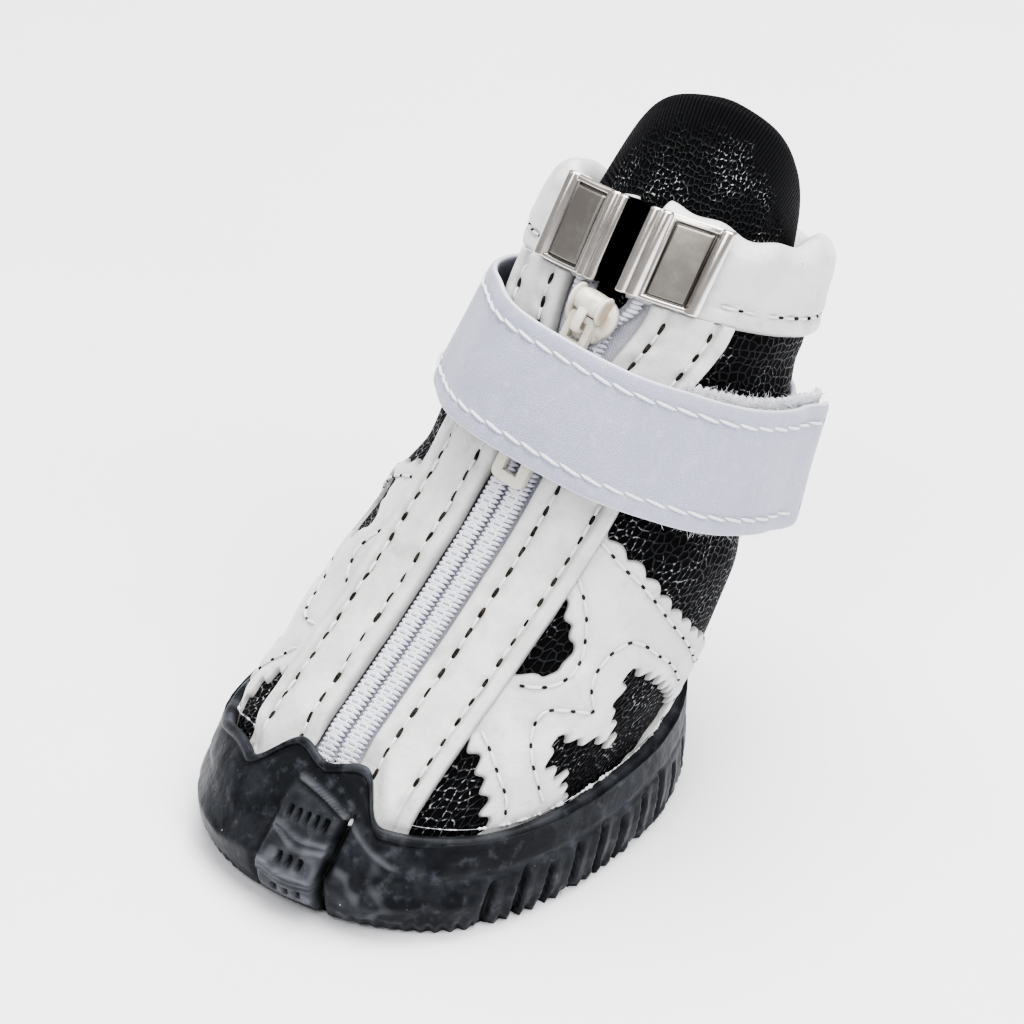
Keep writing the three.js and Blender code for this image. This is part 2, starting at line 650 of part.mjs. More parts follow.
// ---------------------------------------------------------------- assembly
const MATERIALS = {
  rubber: { color: 0x24262a, roughness: 0.62, metalness: 0 },
  mesh: { color: 0x0d0d0f, roughness: 0.9, metalness: 0 },
  leather: { color: 0xdcdad6, roughness: 0.4, metalness: 0 },
  reflective: { color: 0xb9bcc9, roughness: 0.45, metalness: 0 },
  tape: { color: 0xa9abb5, roughness: 0.8, metalness: 0 },
  coil: { color: 0xc4c6cc, roughness: 0.5, metalness: 0 },
  enamel: { color: 0xe6e0d2, roughness: 0.3, metalness: 0 },
  nickel: { color: 0xc9c4bc, roughness: 0.25, metalness: 1 },
};

const boot = new THREE.Group();
function addPiece(name, geometry, finish) {
  const mesh = new THREE.Mesh(geometry, new THREE.MeshStandardMaterial(MATERIALS[finish]));
  mesh.name = name;
  boot.add(mesh);
}
addPiece("sole", buildSole(), "rubber");
addPiece("insole", buildInsole(), "mesh");
addPiece("upper", buildUpper(), "mesh");
addPiece("tongue", buildTongue(), "mesh");
addPiece("collar_binding", buildCollar(), "leather");
addPiece("strap", buildStrap(), "reflective");
for (const [side, name] of [
  [-1, "right"],
  [1, "left"],
]) {
  addPiece(`facing_${name}`, buildFacing(side), "leather");
  addPiece(`zip_tape_${name}`, buildTape(side), "tape");
  addPiece(`zip_coil_${name}`, buildCoil(side), "coil");
  addPiece(`end_clip_${name}`, buildClip(side), "nickel");
}
addPiece("zip_slider", buildSlider(), "enamel");
addPiece("zip_pull", buildPull(), "enamel");

export default boot;
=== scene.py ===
# %% [markdown]
# # A dog boot, dressed in Blender
# The boot is a moulded rubber cup sole under a mesh upper, closed by a front zip between two leather
# facings, with scalloped leather panels at the sides, a padded collar, a tongue and a strap.
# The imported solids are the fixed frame: they set every size. This lesson lays the visible surfaces
# over them, piece by piece, as functions worked out on whole numpy grids.

# %% Load the frame
import math
import bmesh
import bpy
import numpy as np
from mathutils import Matrix, Vector
from mathutils.geometry import delaunay_2d_cdt


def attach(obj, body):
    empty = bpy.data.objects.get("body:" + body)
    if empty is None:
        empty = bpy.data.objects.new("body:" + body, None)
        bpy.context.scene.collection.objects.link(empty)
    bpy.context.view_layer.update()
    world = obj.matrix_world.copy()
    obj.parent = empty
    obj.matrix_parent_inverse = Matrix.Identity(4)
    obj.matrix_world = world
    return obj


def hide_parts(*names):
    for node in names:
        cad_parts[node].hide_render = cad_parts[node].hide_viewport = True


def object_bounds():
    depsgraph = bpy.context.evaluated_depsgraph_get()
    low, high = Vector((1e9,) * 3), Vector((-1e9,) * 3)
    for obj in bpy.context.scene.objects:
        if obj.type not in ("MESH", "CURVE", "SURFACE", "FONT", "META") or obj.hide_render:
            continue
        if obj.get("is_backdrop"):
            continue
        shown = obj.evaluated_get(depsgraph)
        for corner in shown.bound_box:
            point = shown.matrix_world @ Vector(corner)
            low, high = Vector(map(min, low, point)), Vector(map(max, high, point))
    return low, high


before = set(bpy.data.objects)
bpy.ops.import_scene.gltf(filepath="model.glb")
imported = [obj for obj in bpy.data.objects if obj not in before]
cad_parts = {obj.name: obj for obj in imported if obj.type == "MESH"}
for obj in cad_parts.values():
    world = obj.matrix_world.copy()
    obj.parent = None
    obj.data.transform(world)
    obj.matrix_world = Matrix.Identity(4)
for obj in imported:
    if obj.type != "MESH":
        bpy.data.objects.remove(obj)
cad_low, cad_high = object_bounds()
print("frame:", sorted(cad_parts))

# %% [markdown]
# ## Camera, floor and light
# A product view of a small thing is taken from some way off with a long lens, so that its upright
# lines stay upright. The lights are large and near, as softboxes are, and the pale floor fills the
# shadows from below.

# %% Camera
VIEW_AZIMUTH = math.radians(38)
VIEW_ELEVATION = math.radians(32.5)
VIEW_ROLL = math.radians(0.5)
VIEW_DISTANCE = 0.875
VIEW_LENS = 208

def put_in_scene(name, data):
    """A new object that shows the given data."""
    made = bpy.data.objects.new(name, data)
    bpy.context.scene.collection.objects.link(made)
    return made

def look_from(azimuth, elevation):
    """Unit vector from the object to a viewer: azimuth turns from -Y towards +X, elevation lifts it."""
    flat = math.cos(elevation)
    return Vector((math.sin(azimuth) * flat, -math.cos(azimuth) * flat, math.sin(elevation)))

back = look_from(VIEW_AZIMUTH, VIEW_ELEVATION)
level_right = Vector((math.cos(VIEW_AZIMUTH), math.sin(VIEW_AZIMUTH), 0))
level_up = back.cross(level_right)
right = level_right * math.cos(VIEW_ROLL) + level_up * math.sin(VIEW_ROLL)
up = back.cross(right)
aim = Vector((0, 0.008, 0.050)) + right * 0.0052 - up * 0.0035
camera_data = bpy.data.cameras.new("product_camera")
camera_data.lens, camera_data.sensor_width, camera_data.clip_end = VIEW_LENS, 36, 20
camera = put_in_scene("product_camera", camera_data)
turned = Matrix((right, up, back)).transposed().to_4x4()
camera.matrix_world = Matrix.Translation(aim + back * VIEW_DISTANCE) @ turned
bpy.context.scene.camera = camera
print("camera at", [round(v, 3) for v in camera.matrix_world.translation])

# %% Soft lights
BOOT_MIDDLE = Vector((0, 0.01, 0.05))

def softbox(name, azimuth, elevation, distance, size, power):
    """A square area light on the sphere round the boot, turned to face the boot's middle."""
    data = bpy.data.lights.new(name, "AREA")
    data.size, data.energy = size, power
    towards = look_from(math.radians(azimuth), math.radians(elevation))
    facing = towards.to_track_quat("Z", "Y").to_matrix().to_4x4()
    put_in_scene(name, data).matrix_world = Matrix.Translation(BOOT_MIDDLE + towards * distance) @ facing

softbox("overhead_softbox", 190, 74, 0.85, 0.75, 17.0)
softbox("right_softbox", 84, 52, 0.95, 0.5, 7.5)
softbox("front_fill", 10, 44, 1.1, 0.6, 6.0)
softbox("left_fill", -75, 40, 1.0, 0.5, 1.2)
world = bpy.data.worlds.new("studio")
bpy.context.scene.world = world
world.use_nodes = True
sky = world.node_tree.nodes["Background"].inputs
sky["Color"].default_value, sky["Strength"].default_value = (0.88, 0.89, 0.92, 1), 0.4
bpy.context.scene.view_settings.look = "AgX - Medium High Contrast"
print("lights: 4 softboxes and a pale world")

# %% [markdown]
# ## Putting arrays into meshes
# Every new piece is a grid of points worked out at once. These helpers turn the arrays into faces:
# a grid, two grids closed into a slab, and a row of closed sections with capped ends.
# Sizes are kept in millimetres here and become metres only when the mesh is made.

# %% Small helpers for numbers
MM = 0.001

def mix(a, b, t):
    """a where t is 0, b where it is 1."""
    return a + (b - a) * t

def smooth(low, high, x):
    """0 below low, 1 above high, with a soft S between."""
    t = np.clip((x - low) / (high - low), 0, 1)
    return t * t * (3 - 2 * t)

def ridge(value, middle, width):
    """A bell: 1 at the middle, falling off over the width."""
    return np.exp(-(((value - middle) / width) ** 2))

def box_mask(value, low, high, edge):
    """1 between low and high, 0 outside, with soft edges."""
    return smooth(low - edge, low + edge, value) * (1 - smooth(high - edge, high + edge, value))

def rounded_edge(gap, radius):
    """A quarter circle: 0 at an edge, 1 from a radius inwards."""
    return np.sqrt(np.clip(1 - (1 - np.minimum(gap / radius, 1)) ** 2, 0, 1))

def unit(v):
    """Vectors made 1 long."""
    return v / np.maximum(np.linalg.norm(v, axis=-1, keepdims=True), 1e-9)

def full_turn(count):
    """Angles at even steps once round, the first not repeated."""
    return np.linspace(0, 2 * math.pi, count + 1)[:-1]

def run_along(points, axis=0):
    """The distance run along rows of points, from 0."""
    steps = np.cumsum(np.linalg.norm(np.diff(points, axis=axis), axis=-1), axis=axis)
    return np.pad(steps, ((0, 0),) * axis + ((1, 0),))

# %% Faces from grids and sections
def grid_faces(rows, columns, closed=False):
    """Quads of a grid whose rows go up and whose columns go to the right, seen from outside."""
    r, c = np.meshgrid(np.arange(rows - 1), np.arange(columns if closed else columns - 1), indexing="ij")
    n = (c + 1) % columns
    corners = [r * columns + c, r * columns + n, (r + 1) * columns + n, (r + 1) * columns + c]
    return np.stack(corners, -1).reshape(-1, 4)

def slab(outer, inner):
    """Two grids (rows, columns, 3) closed into one skin by walls round their shared border."""
    rows, columns = outer.shape[:2]
    front, behind = grid_faces(rows, columns), rows * columns
    index = np.arange(behind).reshape(rows, columns)
    loop = np.concatenate([index[0], index[1:, -1], index[-1, -2::-1], index[-2:0:-1, 0]])
    after = np.roll(loop, -1)
    walls = np.stack([after, loop, loop + behind, after + behind], -1)
    points = np.concatenate([outer.reshape(-1, 3), inner.reshape(-1, 3)])
    return points, np.concatenate([front, front[:, ::-1] + behind, walls])

def sections(rings):
    """Closed sections (stations, around, 3) in a row; quads round a middle point close each end."""
    stations, around = rings.shape[:2]
    points = np.concatenate([rings.reshape(-1, 3), rings[:1].mean(1), rings[-1:].mean(1)])
    first = np.arange(around)
    caps = []
    for middle, ring in enumerate((first[::-1], first + (stations - 1) * around), stations * around):
        a, b, c = ring[0::2], ring[1::2], np.roll(ring, -2)[0::2]
        caps.append(np.stack([np.full_like(a, middle), a, b, c], -1))
    return points, np.concatenate([grid_faces(stations, around, closed=True), *caps])

def many(points, faces):
    """A batch of equal shapes, points (count, n, 3) and the faces of one, as one shape."""
    starts = points.shape[1] * np.arange(len(points))[:, None, None]
    return points.reshape(-1, 3), (faces + starts).reshape(-1, faces.shape[1])

def many_sections(rings):
    """A batch of capped rows of sections: rings is (count, stations, around, 3)."""
    ends = np.stack([rings[:, 0].mean(1), rings[:, -1].mean(1)], 1)
    return many(np.concatenate([rings.reshape(len(rings), -1, 3), ends], 1), sections(rings[0])[1])

def join(parts):
    """Several (points, faces) as one."""
    starts = np.cumsum([0] + [len(p) for p, _ in parts[:-1]])
    faces = [faces + start for (_, faces), start in zip(parts, starts)]
    return np.concatenate([points for points, _ in parts]), np.concatenate(faces)

def read_along(at, run, points):
    """A line's points read at distances along it."""
    return np.stack([np.interp(at, run, points[:, k]) for k in range(points.shape[1])], -1)

def rings_round(middle, across, outward, radius, turn):
    """Circles of points round each place of a line, in the plane of two directions."""
    circle = across[..., None, :] * np.cos(turn)[:, None] + outward[..., None, :] * np.sin(turn)[:, None]
    return middle[..., None, :] + np.asarray(radius)[..., None, None] * circle

# %% Making a piece
def millimetre_map(across, upward):
    """A UV map in units of 100 mm, one place for each point of a grid."""
    return np.stack(np.broadcast_arrays(across, upward), -1).reshape(-1, 2) / 100

def for_points(values, count, width=1):
    """Values for a mesh's points: a slab's second side repeats them, and the caps' middles get 0."""
    values = values.reshape(-1, width)
    if count == 2 * len(values):
        values = np.tile(values, (2, 1))
    return np.pad(values, ((0, count - len(values)), (0, 0)))

def add_piece(name, shape, material, slot, uv=None, **marks):
    """Makes the mesh: foreach_set puts in points (in mm), faces, a UV map and named vertex marks."""
    points, faces = shape
    mesh = bpy.data.meshes.new(name)
    mesh.vertices.add(len(points))
    mesh.vertices.foreach_set("co", (points * MM).astype(np.float32).ravel())
    mesh.loops.add(faces.size)
    mesh.loops.foreach_set("vertex_index", faces.astype(np.int32).ravel())
    mesh.polygons.add(len(faces))
    mesh.polygons.foreach_set("loop_start", np.arange(0, faces.size, faces.shape[1], dtype=np.int32))
    mesh.update(calc_edges=True)
    mesh.validate()
    if uv is not None:
        layer = mesh.uv_layers.new(name="UVMap")
        layer.data.foreach_set("uv", for_points(uv, len(points), 2)[faces.ravel()].astype(np.float32).ravel())
    for mark, values in marks.items():
        attribute = mesh.attributes.new(mark, "FLOAT", "POINT")
        attribute.data.foreach_set("value", for_points(values, len(points)).astype(np.float32).ravel())
    mesh.materials.append(material)
    mesh.shade_smooth()
    piece = put_in_scene(name, mesh)
    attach(piece, "boot")
    print(f"{name}: {len(points)} points, {len(faces)} faces")
    return piece

# %% [markdown]
# ## The upper's skin
# The boot's upper is lofted through tilted, rounded rings. The same table of rings as in the solid
# model gives the skin here, so everything laid on it fits. A place on it is a level (rings counted
# from the insole) and a distance round the ring from the front.

# %% Skin of the upper
# front y, front z, rear y, rear z, half width, lean to +X, twist of the front line, squareness
RINGS = np.array([
    (-33.5, 4.8, 34.5, 4.8, 26.4, 0, 0, 2.35),
    (-32.5, 13.5, 37, 13.5, 28, 0.2, 0, 2.35),
    (-26, 20.5, 39.5, 18, 28.4, 1, 0, 2.3),
    (-9.5, 34.5, 42, 25, 27.8, 3, 0.4, 2.25),
    (3.5, 49, 45.5, 34.5, 26, 5.5, 1, 2.2),
    (13, 63.5, 49.5, 48.5, 24.2, 8, 1.4, 2.2),
    (21, 78, 54, 63, 22.4, 10.5, 1.8, 2.2),
    (28, 92.5, 58, 78, 20.4, 12.8, 2, 2.2),
    (39, 108, 63, 94, 17.5, 14.5, 2, 2.1),
])

FRONT_TWIST = 6  # the column of the twist

def ring_values(level):
    """The table at levels between its rows, on a Catmull-Rom curve through them."""
    level = np.asarray(level, float)
    i = np.clip(np.floor(level), 0, len(RINGS) - 2).astype(int)
    t = (level - i)[..., None]
    p0, p1, p2, p3 = (RINGS[np.clip(i + k, 0, len(RINGS) - 1)] for k in (-1, 0, 1, 2))
    bend, flex = 2 * p0 - 5 * p1 + 4 * p2 - p3, 3 * p1 - p0 - 3 * p2 + p3
    return (2 * p1 + (p2 - p0) * t + bend * t**2 + flex * t**3) / 2

def squared(x, square):
    """A sine or cosine raised so that the circle becomes a rounded square."""
    return np.sign(x) * np.abs(x) ** (2 / square)

def skin(level, angle):
    """The outer skin: across by the squared sine of the angle, and from front to rear by its cosine."""
    level, angle = np.broadcast_arrays(level, angle)
    front_y, front_z, rear_y, rear_z, half, lean, _, square = np.moveaxis(ring_values(level), -1, 0)
    along = (1 - squared(np.cos(angle), square)) / 2
    x = lean + half * squared(np.sin(angle), square)
    return np.stack([x, mix(front_y, rear_y, along), mix(front_z, rear_z, along)], -1)

def skin_normal(level, angle):
    """Outward: across the ring's direction and the way up, both from small steps."""
    h = 0.02
    round_ring = skin(level, angle + h) - skin(level, angle - h)
    upward = skin(level + h, angle) - skin(level - h, angle)
    return unit(np.cross(round_ring, upward))

def off_skin(level, angle, out):
    """A point off the skin along its outward normal."""
    return skin(level, angle) + skin_normal(level, angle) * np.asarray(out)[..., None]

print("rings of the skin:", len(RINGS))

# %% Distances along the skin
LEVEL_STEP, REACH_STEP, REACH_END = 0.05, 0.5, 190
LEVELS = np.arange(0, 8.001, LEVEL_STEP)
TURNS = np.radians(np.arange(-360, 361))
AT_FRONT, AT_REAR = 360, 540  # the columns of 0 and 180 degrees
ring_run = run_along(skin(LEVELS[:, None], TURNS), axis=1)
ring_run -= ring_run[:, AT_FRONT, None]
REACH = np.arange(-REACH_END, REACH_END + 0.1, REACH_STEP)
TURN_TABLE = np.array([np.interp(REACH, run, TURNS) for run in ring_run])
HALF_RUN = ring_run[:, AT_REAR]
HEIGHTS = run_along(skin(LEVELS, math.pi / 2))

def angle_at(level, distance):
    """The ring angle at a distance from angle 0, read between the rows and columns of a table."""
    row = np.clip(np.asarray(level) / LEVEL_STEP, 0, len(LEVELS) - 1.001)
    column = np.clip((np.asarray(distance) + REACH_END) / REACH_STEP, 0, len(REACH) - 1.001)
    row, column = np.broadcast_arrays(row, column)
    i, j = row.astype(int), column.astype(int)
    a, b = row - i, column - j
    low = mix(TURN_TABLE[i, j], TURN_TABLE[i, j + 1], b)
    return mix(low, mix(TURN_TABLE[i + 1, j], TURN_TABLE[i + 1, j + 1], b), a)

LEVEL_MM = 15.5  # about how far apart two levels are up the shaft

def height(level):
    """A level as millimetres up the boot's side, so that flat patterns keep their shape."""
    return np.interp(level, LEVELS, HEIGHTS)

def half_run(level):
    """Millimetres from the front to the rear, along the ring."""
    return np.interp(level, LEVELS, HALF_RUN)

def twist(level):
    """How far the line up the front has turned, in mm."""
    return ring_values(level)[..., FRONT_TWIST]

print("half way round at the rim and collar:", half_run(1).round(1), half_run(7).round(1), "mm")

# %% Sizes of the sole
SOLE_LENGTH, SOLE_WIDTH, SOLE_SQUARE = 78, 64, 2.35
SOLE_FLOOR, RUBBER, GAP = 4.5, 2.4, 0.35
TOE_SPRING, SPRING_FROM = 1.2, 26
RIM_SIDE, RIM_FLANK, RIM_HEEL = 13.8, 2.4, 4
TAB_RISE, TAB_HALF, TAB_SLOPE, TAB_DIP, SHOULDER_RISE = 5.6, 9.3, 7, 1.2, 2.3
WALL_SHARE = [0, 0.15, 0.36, 0.72, 0.94, 1]
WALL_SCALE = [0.955, 0.99, 1, 1, 1, 1]
WALL_INWARD = [0, 0, 0, 0.5, 0.9, 1]
COLUMNS = 720
BLOCK_LEFT, BLOCK_RIGHT = -3.2, 7.0  # the toe block, along the outline from the toe's middle
SLIT_PITCH, SLIT_FIRST, SLIT_COUNT = 5.35, 33, 14
TOOTH_PITCH, TREAD_PITCH, LIP_DROP = 2.3, 8.6, 1.2

def outline(angle):
    """The sole's widest outline: a rounded rectangle, in x and y."""
    half = np.array([SOLE_WIDTH, -SOLE_LENGTH]) / 2
    return half * squared(np.stack([np.sin(angle), np.cos(angle)], -1), SOLE_SQUARE)

def rim_height(angle):
    """Height of the rubber's top: flanks, heel, and the toe tab with its dip."""
    ahead, behind = np.maximum(0, np.cos(angle)), np.maximum(0, -np.cos(angle))
    side = np.where(ahead > 0, np.abs(skin(1.5, angle)[..., 0] - skin(1.5, 0)[..., 0]), SOLE_WIDTH)
    tab = TAB_RISE * (1 - smooth(TAB_HALF - TAB_SLOPE / 2, TAB_HALF + TAB_SLOPE / 2, side))
    dip = TAB_DIP * (1 - smooth(0, TAB_HALF * 0.6, side))
    shoulder = SHOULDER_RISE * ridge(side * np.sign(np.sin(angle)), -16.5, 6.5) * smooth(0, 0.4, ahead)
    return RIM_SIDE + RIM_FLANK * ahead**3 + RIM_HEEL * behind**3 + tab - dip + shoulder

print("sole:", SOLE_WIDTH, "by", SOLE_LENGTH, "mm, its rim", RIM_SIDE, "mm high at the sides")

# %% [markdown]
# ## Creases
# Soft goods crease where they bend: across the front of the ankle, beside the facings and under the
# strap. Each crease is a short line on the skin with a soft trough along it, and a low ridge beside
# it. Upper, panels and facings all take the same relief, so the layers stay together.

# %% Relief of the upper
# from (level, distance) to (level, distance), width mm, depth mm (negative stands up)
CREASES = np.array([
    (3.35, 17, 3.05, 36, 2.6, 0.45), (3.6, 24, 3.4, 44, 3.2, 0.35), (2.75, 18, 2.45, 30, 2.2, 0.3),
    (2.0, 20, 2.2, 44, 3.4, -0.3), (3.05, -16, 2.7, -30, 2.6, 0.5), (3.6, -15, 3.4, -32, 2.8, 0.4),
    (2.35, -19, 2.2, -34, 2.6, 0.4), (4.35, 24, 4.2, 60, 3.4, 0.6), (4.3, -18, 4.15, -58, 3.4, 0.6),
    (5.95, 26, 6.1, 60, 2.8, 0.5), (6.0, -20, 6.15, -58, 2.8, 0.5), (3.2, 60, 2.9, 92, 3.5, 0.7),
    (4.0, 60, 3.9, 88, 4.0, 0.6), (3.4, -60, 3.1, -92, 3.5, 0.6), (2.9, 5, 3.1, 13, 2.4, 0.16),
    (3.7, 6, 3.55, 15, 2.6, 0.18), (2.4, -5, 2.55, -14, 2.4, 0.2), (3.4, -5, 3.25, -14, 2.6, 0.2),
])
WAVE_COUNT = 14
rng = np.random.default_rng(7)
WAVES = rng.normal(size=(WAVE_COUNT, 3))
PHASES = rng.uniform(0, 2 * math.pi, WAVE_COUNT)

def ripple(points, size, seed=0):
    """Smooth noise between about -1 and 1: a sum of fourteen plane waves of nearly one length."""
    lengths = 0.75 + 0.5 * np.abs(np.sin(np.arange(WAVE_COUNT) + seed))
    waves = unit(np.roll(WAVES, seed, axis=0)) * lengths[:, None]
    return np.sin(points @ waves.T * (2 * math.pi / size) + PHASES + seed).sum(-1) / 5.3

def relief(level, distance):
    """The sum of the creases at places on the skin, each a bell across its line that fades at its ends."""
    level, distance = np.broadcast_arrays(level, distance)
    total = np.zeros(level.shape)
    for level_a, from_d, level_b, to_d, width, depth in CREASES:
        a, b = np.array([from_d, height(level_a)]), np.array([to_d, height(level_b)])
        place = np.stack([distance, height(level)], -1) - a
        t = (place @ (b - a)) / ((b - a) @ (b - a))
        gap = np.linalg.norm(place - np.clip(t, 0, 1)[..., None] * (b - a), axis=-1)
        fade = smooth(-0.15, 0.3, t) * smooth(1.15, 0.7, t)
        total -= depth * fade * (ridge(gap, 0, width) - 0.35 * ridge(gap, 1.9 * width, width))
    return total

def wrap(level, distance, out):
    """A place on the creased skin: distance is from angle 0, positive towards +X. What stands off it
    is pressed flat where the rubber's rim covers it."""
    angle = angle_at(level, distance)
    above = skin(level, angle)[..., 2] - rim_height(angle)
    pressed = np.where(np.asarray(out) > 0.2, mix(0.2, out, smooth(-1.2, 2.2, above)), out)
    return off_skin(level, angle, pressed + relief(level, distance) * smooth(-1, 4, above))

def front(level, d, out):
    """The same, with d measured from the turned line up the front."""
    return wrap(level, d + twist(level), out)

print("creases:", len(CREASES))

# %% [markdown]
# ## Finishes
# Each finish is a node material. What several of them share, such as a leather's grain, a weave,
# blotches of tone and specks of dust, is a node group with named inputs, built once. The patterns
# are set in millimetres, on Object coordinates or on the piece's own UV map.

# %% Node helpers
def rgba(colour):
    """Red, green and blue get an opaque alpha; an output of a node stays as it is."""
    return colour if isinstance(colour, bpy.types.NodeSocket) else (*colour, 1)

class Nodes:
    """A node tree being built. Each step adds a node and gives back its output."""
    def __init__(self, tree):
        self.tree = tree

    def add(self, kind, inputs, **settings):
        """A shader node with its settings; an input is given a value, or an output to link it to."""
        node = self.tree.nodes.new("ShaderNode" + kind)
        for name, value in settings.items():
            setattr(node, name, value)
        for name, value in inputs.items():
            if isinstance(value, bpy.types.NodeSocket):
                self.tree.links.new(value, node.inputs[name])
            else:
                node.inputs[name].default_value = value
        return node.outputs

    def maths(self, operation, *values, clamp=False):
        return self.add("Math", dict(enumerate(values)), operation=operation, use_clamp=clamp)[0]

    def times(self, a, b, clamp=False):
        return self.maths("MULTIPLY", a, b, clamp=clamp)

    def colours(self, factor, a, b):
        return self.add("Mix", {0: factor, 6: rgba(a), 7: rgba(b)}, data_type="RGBA")[2]

    def ranged(self, value, low, high, to_low=0.0, to_high=1.0):
        """A value carried from one range to another with a soft S, and held at its ends."""
        inputs = {"Value": value, "From Min": low, "From Max": high, "To Min": to_low, "To Max": to_high}
        return self.add("MapRange", inputs, interpolation_type="SMOOTHSTEP")[0]

    def scaled(self, vector, factor):
        return self.add("VectorMath", {0: vector, "Scale": factor}, operation="SCALE")[0]

    def per(self, vector, size):
        """A place in units of a size."""
        return self.scaled(vector, self.maths("DIVIDE", 1.0, size))

    def millimetres(self, uv=False):
        """Object coordinates, or the UV map, scaled so that 1 is a millimetre."""
        return self.scaled(self.add("TexCoord", {})["UV" if uv else "Object"], 100.0 if uv else 1000.0)

    def noise(self, vector, scale, detail, **more):
        return self.add("TexNoise", {"Vector": vector, "Scale": scale, "Detail": detail, **more})

class Effect(Nodes):
    """A node group: float inputs with their usual values, and named float outputs."""
    def __init__(self, name, given, gives):
        print("effect:", name, "with", *given, "gives", *gives)
        super().__init__(bpy.data.node_groups.new(name, "ShaderNodeTree"))
        socket = self.tree.interface.new_socket
        for label, value in given.items():
            socket(label, in_out="INPUT", socket_type="NodeSocketFloat").default_value = value
        for label in gives:
            socket(label, in_out="OUTPUT", socket_type="NodeSocketFloat")
        self.given = self.tree.nodes.new("NodeGroupInput").outputs
        self.out = self.tree.nodes.new("NodeGroupOutput").inputs

    def give(self, **values):
        for label, value in values.items():
            self.tree.links.new(value, self.out[label])

# %% Grain, blotches and specks
grain = Effect("leather_grain", {"Size": 0.7, "Wrinkle": 4.0}, ["Height"])
place = grain.millimetres()
inputs = {"Vector": grain.per(place, grain.given["Size"]), "Scale": 1.0}
pebbles = grain.add("TexVoronoi", inputs, feature="SMOOTH_F1")
folds = grain.noise(grain.per(place, grain.given["Wrinkle"]), 1.0, 3.0, Distortion=0.8)
grain.give(Height=grain.maths("MULTIPLY_ADD", pebbles["Distance"], 0.35, folds[0]))

blotches = Effect("blotches", {"Size": 8.0, "Low": 0.4, "High": 0.65}, ["Mask"])
cloudy = blotches.noise(blotches.per(blotches.millimetres(), blotches.given["Size"]), 1.0, 5.0, Roughness=0.6)
blotches.give(Mask=blotches.ranged(cloudy[0], blotches.given["Low"], blotches.given["High"]))

specks = Effect("dust_specks", {"Spacing": 2.2, "Reach": 0.12, "Share": 0.5}, ["Mask"])
place = specks.per(specks.millimetres(), specks.given["Spacing"])
cells = specks.add("TexVoronoi", {"Vector": place, "Scale": 1.0})
chance = specks.add("SeparateColor", {0: cells["Color"]})
near = specks.maths("LESS_THAN", cells["Distance"], specks.times(specks.given["Reach"], chance[1]))
specks.give(Mask=specks.times(near, specks.maths("LESS_THAN", chance[0], specks.given["Share"])))

# %% Honeycomb mesh and woven cloth
net = Effect("honeycomb_net", {"Cell": 1.5, "Thread": 0.12}, ["Thread", "Height", "Glint"])
place, cell, width = net.millimetres(uv=True), net.given["Cell"], net.given["Thread"]
bent = net.scaled(net.noise(net.per(place, cell), 0.35, 2.0)["Color"], 1.6)
bent = net.add("VectorMath", {0: place, 1: bent}, operation="ADD")[0]
holes = net.add("TexVoronoi", {"Vector": net.per(bent, cell), "Scale": 1.0, "Randomness": 0.72},
                voronoi_dimensions="2D", feature="DISTANCE_TO_EDGE")
fray = net.times(net.maths("SUBTRACT", net.noise(place, 2.6, 3.0)[0], 0.5), 0.14)
edge = net.maths("ADD", holes["Distance"], fray)
thread = net.ranged(edge, width, net.times(width, 0.35))
# A painted highlight: a few threads, in patches, get a pale colour as if they caught the light.
sparkle, patches = net.noise(place, 1.9, 2.0)[0], net.noise(place, 0.11, 3.0)[0]
lit = net.times(net.ranged(sparkle, 0.5, 0.66), net.ranged(patches, 0.44, 0.6))
net.give(Thread=thread, Height=net.ranged(edge, 0.0, 0.3, 1.0, 0.0), Glint=net.times(lit, thread))

weave = Effect("weave", {"Pitch": 0.6}, ["Height", "Tone"])
place = weave.per(weave.millimetres(uv=True), weave.given["Pitch"])
axes = weave.add("SeparateXYZ", {0: place})
warp, weft = (weave.maths("SINE", weave.times(axes[k], 2 * math.pi)) for k in (0, 1))
fibre = weave.noise(place, 2.0, 4.0)[0]
weave.give(Height=weave.maths("ADD", weave.times(warp, weft), fibre), Tone=fibre)

# %% Starting a material
class Finish(Nodes):
    """A material being built, with constants set on its Principled shader's own sockets."""
    def __init__(self, name, **constants):
        print("finish:", name)
        self.material = bpy.data.materials.new(name)
        self.material.use_nodes = True
        super().__init__(self.material.node_tree)
        self.surface = self.tree.nodes["Principled BSDF"].inputs
        for label, value in constants.items():
            self.surface[label.replace("_", " ")].default_value = value

    def place(self, effect, **inputs):
        """Puts a shared effect into the material with this material's own values."""
        return self.add("Group", inputs, node_tree=effect.tree)

    def blotches(self, size, low=0.4, high=0.65):
        return self.place(blotches, Size=size, Low=low, High=high)["Mask"]

    def specks(self, spacing, reach, share):
        return self.place(specks, Spacing=spacing, Reach=reach, Share=share)["Mask"]

    def grain(self, size, wrinkle):
        return self.place(grain, Size=size, Wrinkle=wrinkle)["Height"]

    def mark(self, name):
        """A value that the piece's mesh carries at its points."""
        return self.add("Attribute", {}, attribute_name=name)["Fac"]

    def coats(self, tone, *layers):
        """A colour with others laid over it, one for each (mask, how much, colour)."""
        for mask, amount, colour in layers:
            tone = self.colours(mask if amount == 1 else self.times(mask, amount, clamp=True), tone, colour)
        return tone

    def done(self, tone, rough, *bumps):
        """Links colour and roughness, and a row of Bump nodes: (height, strength, distance in mm)."""
        self.tree.links.new(tone, self.surface["Base Color"])
        if rough is not None:
            self.tree.links.new(rough, self.surface["Roughness"])
        normal = {}
        for value, strength, distance in bumps:
            inputs = {"Height": value, "Strength": strength, "Distance": distance * MM, **normal}
            normal = {"Normal": self.add("Bump", inputs)[0]}
        if bumps:
            self.tree.links.new(normal["Normal"], self.surface["Normal"])
        return self.material

